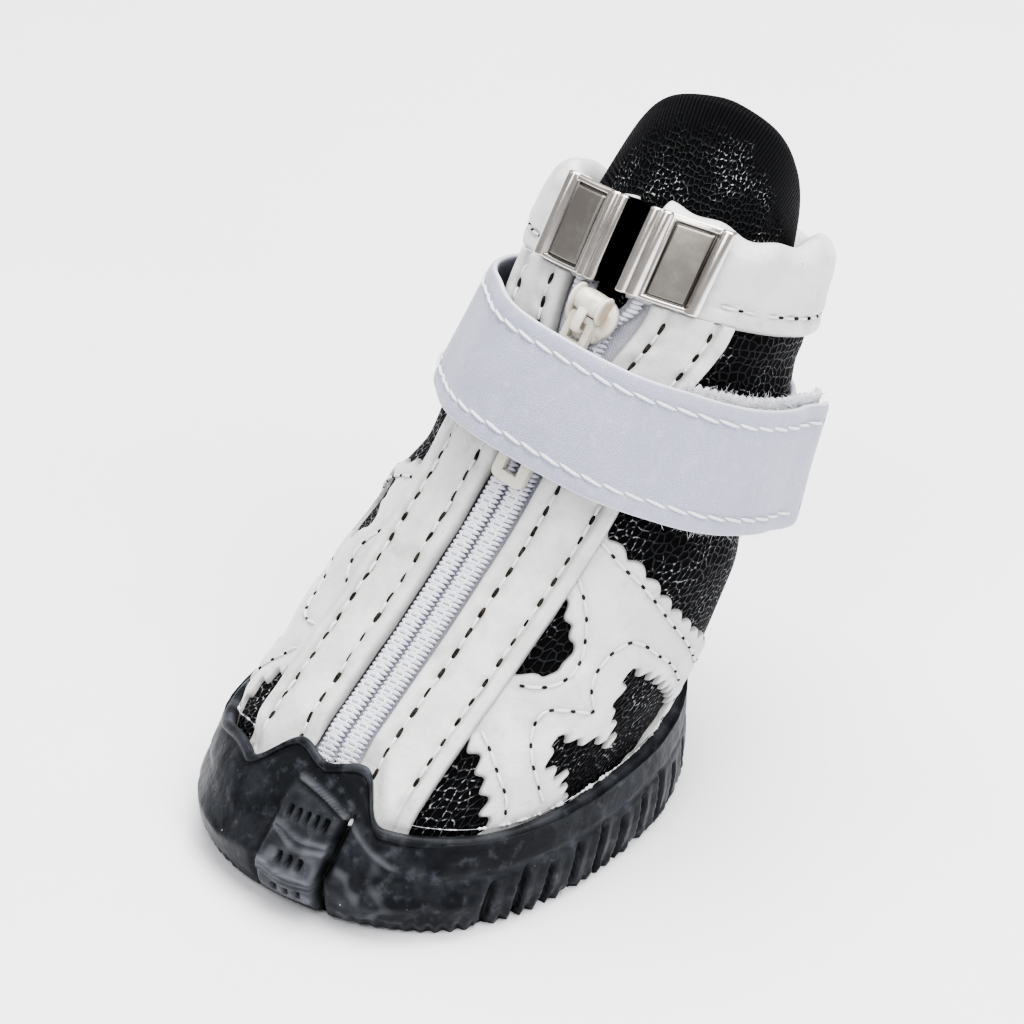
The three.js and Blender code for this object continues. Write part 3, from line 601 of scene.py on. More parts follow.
# %% White leather
def leather_finish(name, colour, shade, wear, depth=0.5):
    """Pale coated leather: blotched tone, fine grain, and a darker colour where the mark is set: worn raw edges,
    and painted shade along seams, folds and crevices.
    """
    made = Finish(name, Roughness=0.42, Coat_Weight=0.12, Coat_Roughness=0.3)
    blotch = made.blotches(9.0, 0.36, 0.7)
    tone = made.coats(colour, (blotch, 1, shade), (made.blotches(1.6, 0.3, 0.75), 0.3, shade),
                      (made.blotches(3.6, 0.52, 0.78), 0.4, wear), (made.mark("wear"), 0.85, wear),
                      (made.specks(3.4, 0.07, 0.25), 0.5, (0.12, 0.11, 0.1)))
    return made.done(tone, made.ranged(blotch, 0.0, 1.0, 0.36, 0.5), (made.grain(0.55, 5.5), depth, 0.3))

white_leather = leather_finish("white_leather", (0.73, 0.725, 0.71), (0.545, 0.54, 0.53), (0.27, 0.262, 0.25))
panel_leather = leather_finish(
    "panel_leather", (0.76, 0.755, 0.745), (0.60, 0.595, 0.585), (0.25, 0.243, 0.232), 0.65)
collar_leather = leather_finish(
    "collar_leather", (0.70, 0.695, 0.685), (0.58, 0.575, 0.565), (0.34, 0.33, 0.315), 0.4)

# %% Black mesh
RIB_PITCH = 0.85

def mesh_finish(name, cell, thread, glint, ribbed=False):
    """Knitted mesh: grey threads round black holes, a few of them with painted glints; ribs with painted shade in
    their grooves where band is marked.
    """
    made = Finish(name, Roughness=0.55, Specular_IOR_Level=0.09)
    knit = made.place(net, Cell=cell, Thread=thread)
    # The pale glint colour laid over the threads is a painted highlight.
    tone = made.coats((0.0012, 0.0012, 0.0014), (knit["Thread"], 1, (0.013, 0.0136, 0.0155)),
                      (knit["Glint"], glint, (0.55, 0.56, 0.58)))
    rough = made.ranged(knit["Thread"], 0.0, 1.0, 0.85, 0.38)
    if not ribbed:
        return made.done(tone, rough, (knit["Height"], 0.9, 0.35))
    band = made.mark("band")
    ribs = made.maths("SINE", made.times(made.mark("rib"), 2 * math.pi / RIB_PITCH))
    # The grooves between the ribs are painted darker than their tops: painted shade.
    dark = made.colours(made.ranged(ribs, -1.0, 1.0), (0.0008, 0.0008, 0.001), (0.009, 0.009, 0.0105))
    level_knit = made.times(knit["Height"], made.maths("SUBTRACT", 1.0, band))
    return made.done(made.colours(band, tone, dark), made.colours(band, rough, (0.62, 0.62, 0.62)),
                     (level_knit, 0.9, 0.35), (made.times(ribs, band), 0.8, 0.22))

black_mesh = mesh_finish("black_mesh", 1.3, 0.11, 0.65)
tongue_mesh = mesh_finish("tongue_mesh", 1.0, 0.13, 0.95, ribbed=True)
insole_cloth = mesh_finish("insole_cloth", 0.8, 0.2, 0.1)

# %% Moulded rubber
made = Finish("moulded_rubber", Specular_IOR_Level=0.1)
patch = made.blotches(7.0, 0.42, 0.72)
tone = made.coats((0.0080, 0.0088, 0.0105), (patch, 1, (0.022, 0.024, 0.028)),
                  (made.blotches(2.2, 0.5, 0.8), 0.6, (0.072, 0.076, 0.087)),
                  # The lighter marked colour is dust on the raised parts and on the lip, and also a painted
                  # highlight there.
                  (made.mark("wear"), 0.7, (0.15, 0.157, 0.172)),
                  # Pits, grooves and slits get a near-black colour: painted shade in the recesses.
                  (made.mark("hollow"), 1, (0.0012, 0.0013, 0.0016)),
                  (made.specks(2.6, 0.10, 0.32), 0.75, (0.42, 0.43, 0.45)),
                  (made.specks(1.1, 0.09, 0.22), 0.3, (0.3, 0.31, 0.33)))
rubber = made.done(tone, made.ranged(patch, 0.0, 1.0, 0.34, 0.5), (made.grain(0.8, 3.0), 0.35, 0.3))

# %% Strap, tape, thread and pile
def cloth_finish(name, colour, shade, pitch, roughness, bump=0.4, sheen=0.1, worn=(0.74, 0.74, 0.78)):
    """Woven cloth: two crossed threads' relief, with a slightly uneven tone; where the mark is set, the strap's
    edges are worn paler and the tape gets painted shade.
    """
    made = Finish(name, Roughness=roughness, Sheen_Weight=sheen)
    cloth = made.place(weave, Pitch=pitch)
    tone = made.coats(shade, (made.ranged(cloth["Tone"], 0.35, 0.65), 1, colour),
                      (made.blotches(6.0, 0.35, 0.75), 0.6, shade),
                      (made.blotches(1.8, 0.5, 0.74), 0.3, (0.62, 0.62, 0.68)), (made.mark("wear"), 0.8, worn))
    return made.done(tone, None, (cloth["Height"], bump, 0.12))

strap_cloth = cloth_finish("reflective_strap", (0.46, 0.465, 0.575), (0.345, 0.35, 0.45), 0.5, 0.5, 0.35)
# The tape's marked colour is near black: painted shade.
tape_cloth = cloth_finish("zip_tape", (0.60, 0.60, 0.67), (0.44, 0.44, 0.50), 0.55, 0.8, worn=(0.03, 0.03, 0.034))
pile_cloth = cloth_finish("loop_pile", (0.80, 0.80, 0.84), (0.66, 0.66, 0.70), 0.4, 0.9, 0.8, 0.4)

def thread_finish(name, colour, shade):
    """Spun thread: fine oblique twist across it and a soft sheen."""
    made = Finish(name, Roughness=0.55, Sheen_Weight=0.3)
    inputs = {"Vector": made.millimetres(), "Scale": 1.1, "Distortion": 1.2}
    spun = made.add("TexWave", inputs, bands_direction="DIAGONAL")["Fac"]
    return made.done(made.coats(shade, (spun, 1, colour)), None, (spun, 0.5, 0.08))

pale_thread = thread_finish("pale_thread", (0.88, 0.875, 0.86), (0.66, 0.65, 0.64))
white_thread = thread_finish("white_thread", (0.88, 0.88, 0.91), (0.70, 0.70, 0.73))
coil_nylon = thread_finish("coil_nylon", (0.76, 0.765, 0.84), (0.58, 0.585, 0.66))
# Painted shadow: near-black beads stand in for the shade in the needle holes.
made = Finish("needle_holes", Roughness=0.9, Specular_IOR_Level=0.1)
hole_dark = made.done(made.coats((0.008, 0.007, 0.006), (made.blotches(0.7), 1, (0.04, 0.035, 0.03))), None)

# %% Enamel and plated metal
made = Finish("ivory_enamel", Coat_Weight=0.35, Coat_Roughness=0.15)
rubbed = made.blotches(2.4, 0.5, 0.72)
tone = made.coats((0.68, 0.64, 0.56), (rubbed, 1, (0.48, 0.43, 0.34)),
                  (made.mark("wear"), 0.8, (0.30, 0.225, 0.14)))
enamel = made.done(tone, made.ranged(rubbed, 0.0, 1.0, 0.24, 0.4), (rubbed, 0.2, 0.1))

made = Finish("satin_nickel", Metallic=1.0)
stretched = made.add("Mapping", {"Vector": made.millimetres(uv=True), "Scale": (0.5, 6.0, 1.0)})[0]
brushed = made.noise(stretched, 1.0, 4.0)[0]
stain, plate = made.blotches(3.0, 0.4, 0.75), made.mark("plate")
dull = made.coats((0.25, 0.232, 0.21), (stain, 1, (0.34, 0.318, 0.29)))
# The throat's near-black colour is painted shadow: in the bend, inside the clip and in the grooves round the
# plate.
tone = made.coats((0.80, 0.75, 0.70), (stain, 1, (0.66, 0.61, 0.56)), (plate, 1, dull),
                  (made.mark("throat"), 1, (0.004, 0.0038, 0.0036)))
rough = made.maths("ADD", made.maths("MULTIPLY_ADD", plate, 0.2, 0.2), made.times(brushed, 0.05))
nickel = made.done(tone, rough, (brushed, 0.1, 0.04))
print("materials:", len(bpy.data.materials))

# %% The floor
made = Finish("pale_floor", Roughness=0.55)
cloudy = made.blotches(60.0, 0.3, 0.8)
floor_paint = made.done(made.coats((0.93, 0.93, 0.955), (cloudy, 1, (0.905, 0.905, 0.93))), None)
FLOOR_TICKS = np.linspace(-2500, 2500, 12)
floor_points = np.stack([*np.meshgrid(FLOOR_TICKS, FLOOR_TICKS), np.zeros((12, 12))], -1)
floor_mesh = bpy.data.meshes.new("floor")
floor_mesh.from_pydata((floor_points.reshape(-1, 3) * MM).tolist(), [], grid_faces(12, 12).tolist())
floor_mesh.materials.append(floor_paint)
floor = put_in_scene("floor", floor_mesh)
floor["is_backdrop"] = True
print("floor:", len(floor_mesh.polygons), "faces")

# %% [markdown]
# ## The rubber cup sole
# The real one is moulded in one piece: tread, ribbed side wall, a smooth band below the rim, and a
# tab that covers the foot of the zip. It could be modelled by hand with booleans, but one closed
# grid round the boot is simpler to steer: every row is a ring, and slits, grooves and ridges are
# small shifts of the rings, in or out.

# %% Where the skin passes a height
def level_at_height(angle, z):
    """Bisection on whole arrays for the level where the skin is z high."""
    angle, z = np.broadcast_arrays(angle, z)
    low, high = np.zeros(z.shape), np.full(z.shape, 4.0)
    for _ in range(30):
        middle = (low + high) / 2
        below = skin(middle, angle)[..., 2] < z
        low, high = np.where(below, middle, low), np.where(below, high, middle)
    return (low + high) / 2

# %% Even steps round the outline
fine = np.linspace(-math.pi, math.pi, 4001)
fine_run = run_along(outline(fine))
arc = (np.arange(COLUMNS) / COLUMNS - 0.5) * fine_run[-1]
side_arc = np.abs(arc)
angle = np.interp(arc, fine_run - fine_run[-1] / 2, fine)
rim = rim_height(angle)
print("sole outline:", round(float(fine_run[-1]), 1), "mm round,", COLUMNS, "columns")

# %% The wall
share = [np.linspace(0, 0.16, 12), np.linspace(0.175, 0.885, 56), np.linspace(0.895, 0.97, 5)]
share = np.concatenate(share)[:, None]
kernel = np.hanning(9)[1:-1] / np.hanning(9).sum()

def eased(values):
    """A wall table read at every row and rounded over by a short moving average."""
    line = np.interp(share[:, 0], WALL_SHARE, values)
    return np.convolve(np.pad(line, 3, mode="edge"), kernel, mode="valid")[:, None, None]

lip = off_skin(level_at_height(angle, rim), angle, RUBBER + GAP)
plan = mix(outline(angle) * eased(WALL_SCALE), lip[:, :2], eased(WALL_INWARD))
wall = np.concatenate([plan, (share * rim)[..., None]], -1)
z = wall[..., 2]

print("wall:", len(wall), "rings of points")

# %% Slits, lugs and teeth along the sides
slit_phase = (side_arc - 0.24 * (z - 3) - SLIT_FIRST) / SLIT_PITCH
slit_number = np.round(slit_phase)
in_slits = box_mask(slit_phase, -0.5, SLIT_COUNT - 0.5, 0.1)
slit_gap = np.abs(slit_phase - slit_number) * SLIT_PITCH
slit_top = 7.6 + 0.8 * np.sin(slit_number * 2.1)
slit = in_slits * (1 - smooth(0.35, 0.95, slit_gap)) * (1 - smooth(slit_top - 1.2, slit_top + 0.8, z))
lug = in_slits * (1 - (2 * slit_gap / SLIT_PITCH) ** 2) * box_mask(z, 0.8, slit_top, 1.2)
teeth = np.abs(((side_arc / TOOTH_PITCH) % 1) - 0.5) * 2
serration = (mix(0.5, 1.05, smooth(18, 30, side_arc)) * teeth - 0.3) * (1 - smooth(0.8, 2.8, z))
serration *= smooth(9, 13, side_arc)
band = ridge(z, 0.63 * rim, 0.55) * smooth(20, 30, side_arc)
print("slits:", 2 * SLIT_COUNT, "of pitch", SLIT_PITCH, "mm")

# %% The toe block, its ledge and grooves
ledge_z = 17.6 - 0.16 * (arc - 1.0) - 0.012 * arc**2
block = smooth(BLOCK_LEFT - 1.4, BLOCK_LEFT + 0.6, arc) * (1 - smooth(BLOCK_RIGHT - 0.4, BLOCK_RIGHT + 0.3, arc))
block = block * box_mask(z, 1.4, ledge_z - 0.8, 0.5)
groove = ridge(arc, BLOCK_RIGHT + 0.6 + 0.07 * (z - 6), 0.6) * box_mask(z, -1, 15.9, 0.9)
groove = groove + 0.35 * ridge(arc, BLOCK_LEFT - 1.5, 0.8) * box_mask(z, 1, 14, 2)
ledge = ridge(z, ledge_z, 0.3) * box_mask(arc, BLOCK_LEFT, BLOCK_RIGHT + 1.2, 0.7)
crease_z = 15.6 - 0.62 * (arc - 8.2) + 0.014 * (arc - 8.2) ** 2
crease = ridge(z, crease_z, 0.34) * box_mask(arc, 8.2, 18, 1.6)

print("toe block: from", BLOCK_LEFT, "to", BLOCK_RIGHT, "mm round the toe")

# %% Rows of moulded pips and bars on the toe block
def pip_row(middle_z, pitch, half_height, first, last):
    """Small upright pits in a row: a repeated box across, cut off above and below."""
    phase = arc / pitch
    gap = np.abs(phase - np.round(phase)) * pitch
    upright = 1 - smooth(half_height * 0.6, half_height, np.abs(z - middle_z))
    return box_mask(arc, first, last, 0.2) * upright * (1 - smooth(0.22, 0.5, gap))

PIP_ROWS = ((14.4, 1.7, 1.0, -2.4, 6.4), (9.0, 1.9, 0.95, -0.9, 4.6), (3.6, 2.1, 0.85, -1.2, 5.4))
BARS = ((12.5, 0.7), (11.5, 1.2), (7.4, 0.7), (6.5, 1.0), (5.6, 1.2))  # height, how much of the wobble
wobble = 0.45 * np.sin(arc * 0.62 + 0.4) + 0.09 * arc
pits = np.clip(sum(pip_row(*row) for row in PIP_ROWS), 0, 1) * block
bars = sum(ridge(z + wobble * swing, at, 0.26) for at, swing in BARS)
plain = smooth(8, 11, arc) * (1 - smooth(30, 36, side_arc)) * box_mask(z, 2, 11, 1.5)
bulge = ripple(wall, 9.0) * (0.08 + 0.4 * plain) + ripple(wall, 3.4, 3) * (0.03 + 0.14 * plain)
shift = (0.9 * block + 0.8 * ledge - 1.9 * groove - 1.3 * pits + 0.4 * bars * block - 1.3 * slit
         + 0.25 * lug + serration + 0.4 * crease - 0.3 * band + bulge * smooth(0.4, 2.0, z))
wall[..., :2] += unit(outline(angle)) * shift[..., None]
spring = TOE_SPRING * smooth(SPRING_FROM, SOLE_LENGTH / 2, -wall[..., 1])
wall[..., 2] += spring * (1 - smooth(0, 0.5, share))
print("wall relief from", shift.min().round(2), "to", shift.max().round(2), "mm")

# %% Dust, painted highlights and painted shade on the wall
dust = smooth(-0.1, 1.0, ripple(wall, 3.2, 5)) * box_mask(arc, -3, 18, 3) * box_mask(z, 1, 12, 3)
# Raised parts are marked lighter: dust, and a painted highlight on the ledge, crease, bars and toe block.
raised = ledge + 0.85 * crease + (0.6 * bars + 0.2 + 0.3 * smooth(12, 6, z)) * block + 0.1 * lug + 0.2 * band
wall_wear = np.clip(raised, 0, 1) * (0.65 + 0.35 * ripple(wall, 4.0, 5))
wall_wear = np.clip(wall_wear + 0.5 * dust, 0, 1)
# Painted shade in the pits, grooves and slits.
wall_hollow = np.clip(0.9 * pits + groove + 0.6 * slit, 0, 1)

print("worn part of the wall:", (wall_wear > 0.2).mean().round(2))

# %% Rounded lip, inside and tread
roll = np.linspace(0, math.pi, 9)[:, None]
lip_out = GAP + RUBBER / 2 + RUBBER / 2 * np.cos(roll)
lip_rows = off_skin(level_at_height(angle, rim - LIP_DROP), angle, lip_out)
lip_rows[..., 2] = rim - LIP_DROP + LIP_DROP * np.sin(roll) + 0.16 * ripple(lip, 11.0, 2)
inside_z = mix(rim - 2 * LIP_DROP, SOLE_FLOOR, np.linspace(0, 1, 6)[:, None])
inside = off_skin(level_at_height(angle, np.maximum(inside_z, 4.9)), angle, GAP)
inside[..., 2] = inside_z
inner_floor = inside[-1:] * (0.5, 0.5, 1)
tread_scale = np.concatenate([np.linspace(0.04, 0.9, 40), np.linspace(0.915, 0.945, 4)])[:, None]
tread = np.pad(outline(angle) * tread_scale[..., None], ((0, 0), (0, 0), (0, 1)))
tread[-1] = mix(tread[-1], wall[0], 0.5)
x, y = tread[..., 0], tread[..., 1]
chevron = np.abs((((y + 0.42 * np.abs(x)) / TREAD_PITCH) % 1) - 0.5) * TREAD_PITCH
depth = np.maximum(1 - smooth(0.8, 1.5, chevron), 1 - smooth(0.7, 1.4, np.abs(x)))
depth *= (1 - smooth(0.84, 0.93, tread_scale)) * smooth(0.05, 0.2, tread_scale)
tread[..., 2] = 1.9 * depth + TOE_SPRING * smooth(SPRING_FROM, SOLE_LENGTH / 2, -y)

print("rings: tread", len(tread), "lip", len(lip_rows), "inside", len(inside))

# %% The whole sole
rings = np.concatenate([tread, wall, lip_rows, inside, inner_floor])
wear, hollow = np.zeros((2, *rings.shape[:2]))
lip_at = len(tread) + len(wall)
wear[len(tread):lip_at], hollow[len(tread):lip_at] = wall_wear, wall_hollow
# A painted highlight along the top of the rounded lip, broken up like scuffs.
lip_wear = 0.2 * np.sin(roll) * np.clip(0.5 + 1.1 * ripple(lip_rows, 6.0, 9), 0, 2)
wear[lip_at:lip_at + len(lip_rows)] = lip_wear
sole = add_piece("cup_sole", sections(rings), rubber, "rubber", wear=wear, hollow=hollow)
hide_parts("sole")

# %% [markdown]
# ## The mesh upper
# The shaft is a padded mesh tube with a slot up its front for the zip. Its shell is one grid from
# one edge of the slot, round the heel, to the other edge, closed into a wall with thickness. The
# honeycomb is too fine to model, so the UV map carries millimetres for the node pattern.

# %% The shell
WALL, SLOT_HALF = 1.8, 9
levels = np.linspace(0, 7, 110)[:, None]
slot = SLOT_HALF * smooth(1.3, 1.45, levels)  # it closes under the rim
start, end = angle_at(levels, slot + twist(levels)), angle_at(levels, twist(levels) - slot)
angles = mix(start, end + 2 * math.pi, np.linspace(0, 1, 300))
flat_skin = skin(levels, angles)
distance = run_along(flat_skin, axis=1) + (slot + twist(levels))
signed = np.where(angles < math.pi, distance, distance - 2 * half_run(levels))
puff = relief(levels, signed) + 0.18 * ripple(flat_skin, 13.0) + 0.35 * ridge(levels, 6.1, 0.14)
puff *= smooth(0.8, 2.4, levels)
shell = slab(off_skin(levels, angles, puff), off_skin(levels, angles, puff * 0.5 - WALL))
upper = add_piece("mesh_upper", shell, black_mesh, "mesh", uv=millimetre_map(distance, height(levels)))
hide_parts("upper")

# %% [markdown]
# ## Scalloped side panels
# Each panel is cut from coated leather with pinking shears, so its edge runs in small waves, with
# cut-outs that show the mesh. The outline is a closed loop in millimetres on the unrolled skin. A
# triangulation fills it exactly up to the edge, and then every point is wrapped onto the skin.

# %% Loops on the unrolled skin
EDGE_STEP, PANEL_STEP, PANEL_THICK, PANEL_OFF, UNDERSIDE = 0.35, 0.75, 0.72, 0.05, -0.25

def rounded(points, rounds=2, closed=True):
    """Chaikin's rule: each corner is cut at a quarter and three quarters of its sides, a few times over."""
    for _ in range(rounds):
        before, after = (points, np.roll(points, -1, axis=0)) if closed else (points[:-1], points[1:])
        cut = np.stack([mix(before, after, 0.25), mix(before, after, 0.75)], 1).reshape(-1, points.shape[1])
        points = cut if closed else np.concatenate([points[:1], cut, points[-1:]])
    return points

def even(points, step, closed=False):
    """The same line with points at an even step along it, and the distances they are at."""
    if closed:
        points = np.concatenate([points, points[:1]])
    run = run_along(points)
    at = np.linspace(0, run[-1], max(4, int(round(run[-1] / step))) + 1)
    at = at[:-1] if closed else at
    return read_along(at, run, points), at

def unrolled(places):
    """(distance, level) pairs as millimetres on the unrolled skin."""
    places = np.asarray(places, float)
    return np.stack([places[:, 0], height(places[:, 1])], -1)

def left_of(ahead):
    """The direction to the left of each direction on the flat."""
    return unit(ahead[:, ::-1] * (-1, 1))

def pinked(places, pitch, wave, closed=True, soft=False, grow=0.0):
    """A loop with a scalloped edge: even points pushed sideways by a row of arches, a closed one grown."""
    line, at = even(rounded(unrolled(places), 2, closed), EDGE_STEP, closed)
    sideways = left_of(np.gradient(line, axis=0))
    turns = math.pi * at / pitch
    arches = 0.62 * np.sin(2 * turns) if soft else np.abs(np.sin(turns)) - 0.6
    after = np.roll(line, -1, axis=0)
    turn = np.sign((line[:, 0] * after[:, 1] - line[:, 1] * after[:, 0]).sum())
    return line + sideways * (wave * arches - grow * turn)[:, None]

def nearest(points, loop):
    """For each point: distance to a closed loop, the run along it there, and whether it is inside."""
    a, b = loop, np.roll(loop, -1, axis=0)
    side, run, parts = b - a, run_along(loop), []
    for some in np.array_split(points, max(1, len(points) // 4000)):
        rel = some[:, None] - a
        t = np.clip((rel * side).sum(-1) / np.maximum((side**2).sum(-1), 1e-9), 0, 1)
        gap = np.linalg.norm(rel - t[..., None] * side, axis=-1)
        k = gap.argmin(1)
        row = np.arange(len(some))
        spans = (a[:, 1] > some[:, 1:]) != (b[:, 1] > some[:, 1:])
        slope = side[:, 0] / np.where(side[:, 1] == 0, 1e-9, side[:, 1])
        crosses = spans & (some[:, :1] < slope * (some[:, 1:] - a[:, 1]) + a[:, 0])
        at = run[k] + t[row, k] * np.linalg.norm(side[k], axis=-1)
        parts.append((gap[row, k], at, crosses.sum(1) % 2 == 1))
    return [np.concatenate(values) for values in zip(*parts)]

def inside_gap(points, loops):
    """Distance to the nearest edge, positive inside the first loop and outside the others."""
    gaps = []
    for number, loop in enumerate(loops):
        gap, _, inside = nearest(points, loop)
        gaps.append(np.where(inside == (number == 0), gap, -gap))
    return np.min(gaps, axis=0)

# %% Filling a panel
def filled(loops):
    """Points and triangles of a flat shape with holes: its loops, two rows beside them and a lattice."""
    low, high = loops[0].min(0), loops[0].max(0)
    lattice = np.stack(np.meshgrid(*(np.arange(low[k], high[k], PANEL_STEP) for k in (0, 1))), -1)
    lattice[::2, :, 0] += PANEL_STEP / 2
    inner = lattice.reshape(-1, 2)
    borders = []
    for inset in (0.16, 0.42):
        for loop in loops:
            normal = left_of(np.roll(loop, -1, axis=0) - np.roll(loop, 1, axis=0))
            borders += [loop + inset * normal, loop - inset * normal]
    border = np.concatenate(borders)
    border = border[inside_gap(border, loops) > 0.12]
    inner = inner[inside_gap(inner, loops) > 0.6]
    points = np.concatenate([*loops, border, inner])
    starts = np.cumsum([0] + [len(loop) for loop in loops])
    runs = [np.arange(a, b) for a, b in zip(starts, starts[1:])]
    edges = np.concatenate([np.stack([run, np.roll(run, -1)], -1) for run in runs])
    made = delaunay_2d_cdt(points.tolist(), edges.tolist(), [], 1, 1e-5)
    points, faces = np.array([tuple(p) for p in made[0]]), np.array(made[2])
    faces = faces[inside_gap(points[faces].mean(1), loops) > 0]
    corners = points[faces]
    turn = np.cross(corners[:, 1] - corners[:, 0], corners[:, 2] - corners[:, 0])
    faces = np.where((turn < 0)[:, None], faces[:, ::-1], faces)
    used, faces = np.unique(faces, return_inverse=True)
    return points[used], faces.reshape(-1, 3)

def closed_under(top, bottom, faces):
    """Two copies of a filled shape joined by walls along the sides that belong to one face only."""
    sides = np.concatenate([faces[:, [0, 1]], faces[:, [1, 2]], faces[:, [2, 0]]])
    n = len(top)
    a, b = sides[~np.isin(sides @ (n, 1), sides @ (1, n))].T
    walls = np.concatenate([np.stack([b, a, a + n], -1), np.stack([b, a + n, b + n], -1)])
    return np.concatenate([top, bottom]), np.concatenate([faces, faces[:, ::-1] + n, walls])

def panel(loops, dents):
    """A filled shape wrapped on the skin with rounded edges and stitched dents; its mark is wear at the cut edge
    and painted shade in the dents.
    """
    points, faces = filled(loops)
    gap = np.maximum(inside_gap(points, loops), 0)
    level = np.interp(points[:, 1], HEIGHTS, LEVELS)
    rise = PANEL_THICK * rounded_edge(gap, 0.45)
    shade, clear = np.zeros(len(points)), gap
    for line in dents:
        beside = np.linalg.norm(points[:, None] - line[None], axis=-1).min(1)
        clear = np.minimum(clear, beside)
        rise -= 0.3 * ridge(beside, 0, 0.5) - 0.07 * ridge(beside, 1.4, 0.7)
        # Painted shade along each seam's dent.
        shade = np.maximum(shade, 0.42 * ridge(beside, 0, 0.45))
    flat = np.pad(points, ((0, 0), (0, 1)))
    rise += smooth(0.7, 3.2, clear) * (0.24 * ripple(flat, 10.0, 7) + 0.08 * ripple(flat, 4.2, 8))
    top, bottom = (wrap(level, points[:, 0], off) for off in (PANEL_OFF + np.maximum(rise, 0), UNDERSIDE))
    return closed_under(top, bottom, faces), np.maximum(1 - smooth(0.05, 0.6, gap), shade)

# %% Panel outlines
# (distance from angle 0, level) round each shape; left is the +X side
TOP_SCALLOPS, CUT_SCALLOPS = (4.7, 0.85), (3.9, 0.78)  # pitch and height of the waves
REAR_LEVELS = np.linspace(2.5, 0.8, 6)
LEFT_TOP = [(14.5, 4.34), (16.5, 4.27), (20, 4.12), (25, 3.97), (30, 3.77), (35, 3.56), (40, 3.4), (45, 3.2),
            (50, 3.05), (55, 2.86), (60, 2.68), (68, 2.5), (76, 2.42), (86, 2.46)]
RIGHT_TOP = [(-10.5, 4.3), (-15, 4.2), (-20, 4.1), (-25, 4.0), (-30, 3.82), (-35, 3.6), (-40, 3.42),
             (-45, 3.22), (-50, 3.05), (-55, 2.86), (-60, 2.68), (-68, 2.5), (-76, 2.42), (-86, 2.46)]
LEFT_TRIANGLE = [(14, 2.42), (16.6, 2.36), (20, 2.2), (22, 2.0), (24.5, 1.8), (25.5, 1.5), (27.5, 1.2),
                 (28, 0.95), (14, 0.95)]
LEFT_WINDOW = [(15, 3.56), (18, 3.52), (19.5, 3.32), (22, 3.25), (22, 3.1), (22.8, 2.98), (20.5, 3.0),
               (19, 2.93), (17.5, 2.98), (15, 3.04)]
LEFT_BRANCH = [(30, 2.42), (31.5, 2.18), (33, 2.12), (35, 1.98), (38, 1.93), (38.5, 1.72), (41, 1.5),
               (42.5, 1.2), (43, 0.95), (60, 0.95), (61, 1.9), (57, 2.14), (53, 2.36), (50, 2.46), (46, 2.6),
               (42, 2.74), (38.4, 2.82), (34.5, 2.94), (36.6, 2.74), (37.2, 2.56), (40, 2.47), (41.2, 2.3),
               (44.4, 2.18), (45.2, 1.98), (46.6, 1.86), (42, 2.1), (38, 2.25), (34, 2.26)]
RIGHT_DART = [(-12.6, 3.5), (-15, 3.4), (-17.3, 3.24), (-15.6, 3.08), (-13.4, 3.16)]
RIGHT_WINDOW = [(-22, 3.86), (-24, 3.68), (-22.6, 3.5), (-24, 3.34), (-28, 3.24), (-32, 3.3), (-31, 3.5),
                (-28, 3.62), (-27, 3.8)]
RIGHT_TRIANGLE = [(-16.6, 2.34), (-20, 2.18), (-23, 1.98), (-24.5, 1.75), (-26, 1.4), (-27, 0.95), (-15, 0.95)]
RIGHT_BRANCH = [(-30, 2.4), (-33, 2.1), (-37.5, 1.95), (-39, 1.7), (-42.5, 1.2), (-43, 0.95), (-60, 0.95),
                (-61, 1.8), (-54, 2.2), (-46, 2.5), (-38.4, 2.8), (-35, 2.9), (-38, 2.56), (-43, 2.25),
                (-46.4, 1.9), (-38, 2.22)]
LEFT_CUTS = [LEFT_TRIANGLE, LEFT_WINDOW, LEFT_BRANCH]
RIGHT_CUTS = [RIGHT_TRIANGLE, RIGHT_DART, RIGHT_WINDOW, RIGHT_BRANCH]

def panel_loop(side, top):
    """The panel's whole outline: scalloped top, seam down the heel and straight foot under the rim."""
    edge = pinked(top, *TOP_SCALLOPS, closed=False)
    seam = unrolled([(side * (half_run(level) - 0.35), level) for level in REAR_LEVELS])
    toe = unrolled([(side * 13.0, 0.8), (side * 12.5, 2.4)])
    seam, _ = even(seam, 0.5)
    base, _ = even(np.concatenate([seam[-1:], toe, edge[:1]]), 0.6)
    return np.concatenate([edge, seam, base[1:-1]])

print("cut-outs:", len(LEFT_CUTS), "and", len(RIGHT_CUTS))

# %% Seam lines on the panels
LEFT_SEAMS = [
    [(17, 4.14), (22.5, 3.93), (26, 3.82), (31, 3.62), (36, 3.41), (42, 3.18), (50, 2.86), (58, 2.54),
     (68, 2.32), (78, 2.26), (88, 2.3)],
    [(17, 3.8), (20, 3.6), (23, 3.34), (25.2, 3.05), (24, 2.86), (20, 2.83), (16.8, 2.86)],
    [(37, 1.3), (34, 1.7), (31, 2.0), (27.5, 2.25), (24.6, 2.5), (24.2, 2.66), (27, 2.66), (30.5, 2.62),
     (33.5, 2.58), (30.8, 2.72), (28.2, 2.9), (28.4, 3.12), (30.5, 3.27), (34, 3.2), (38, 3.06), (44, 2.88),
     (50, 2.64), (57, 2.36)],
    [(17.2, 2.5), (21, 2.32), (25, 2.05), (28.4, 1.75), (30.4, 1.3)],
    [(62.5, 2.2), (62.8, 1.7), (63, 1.1)],
]
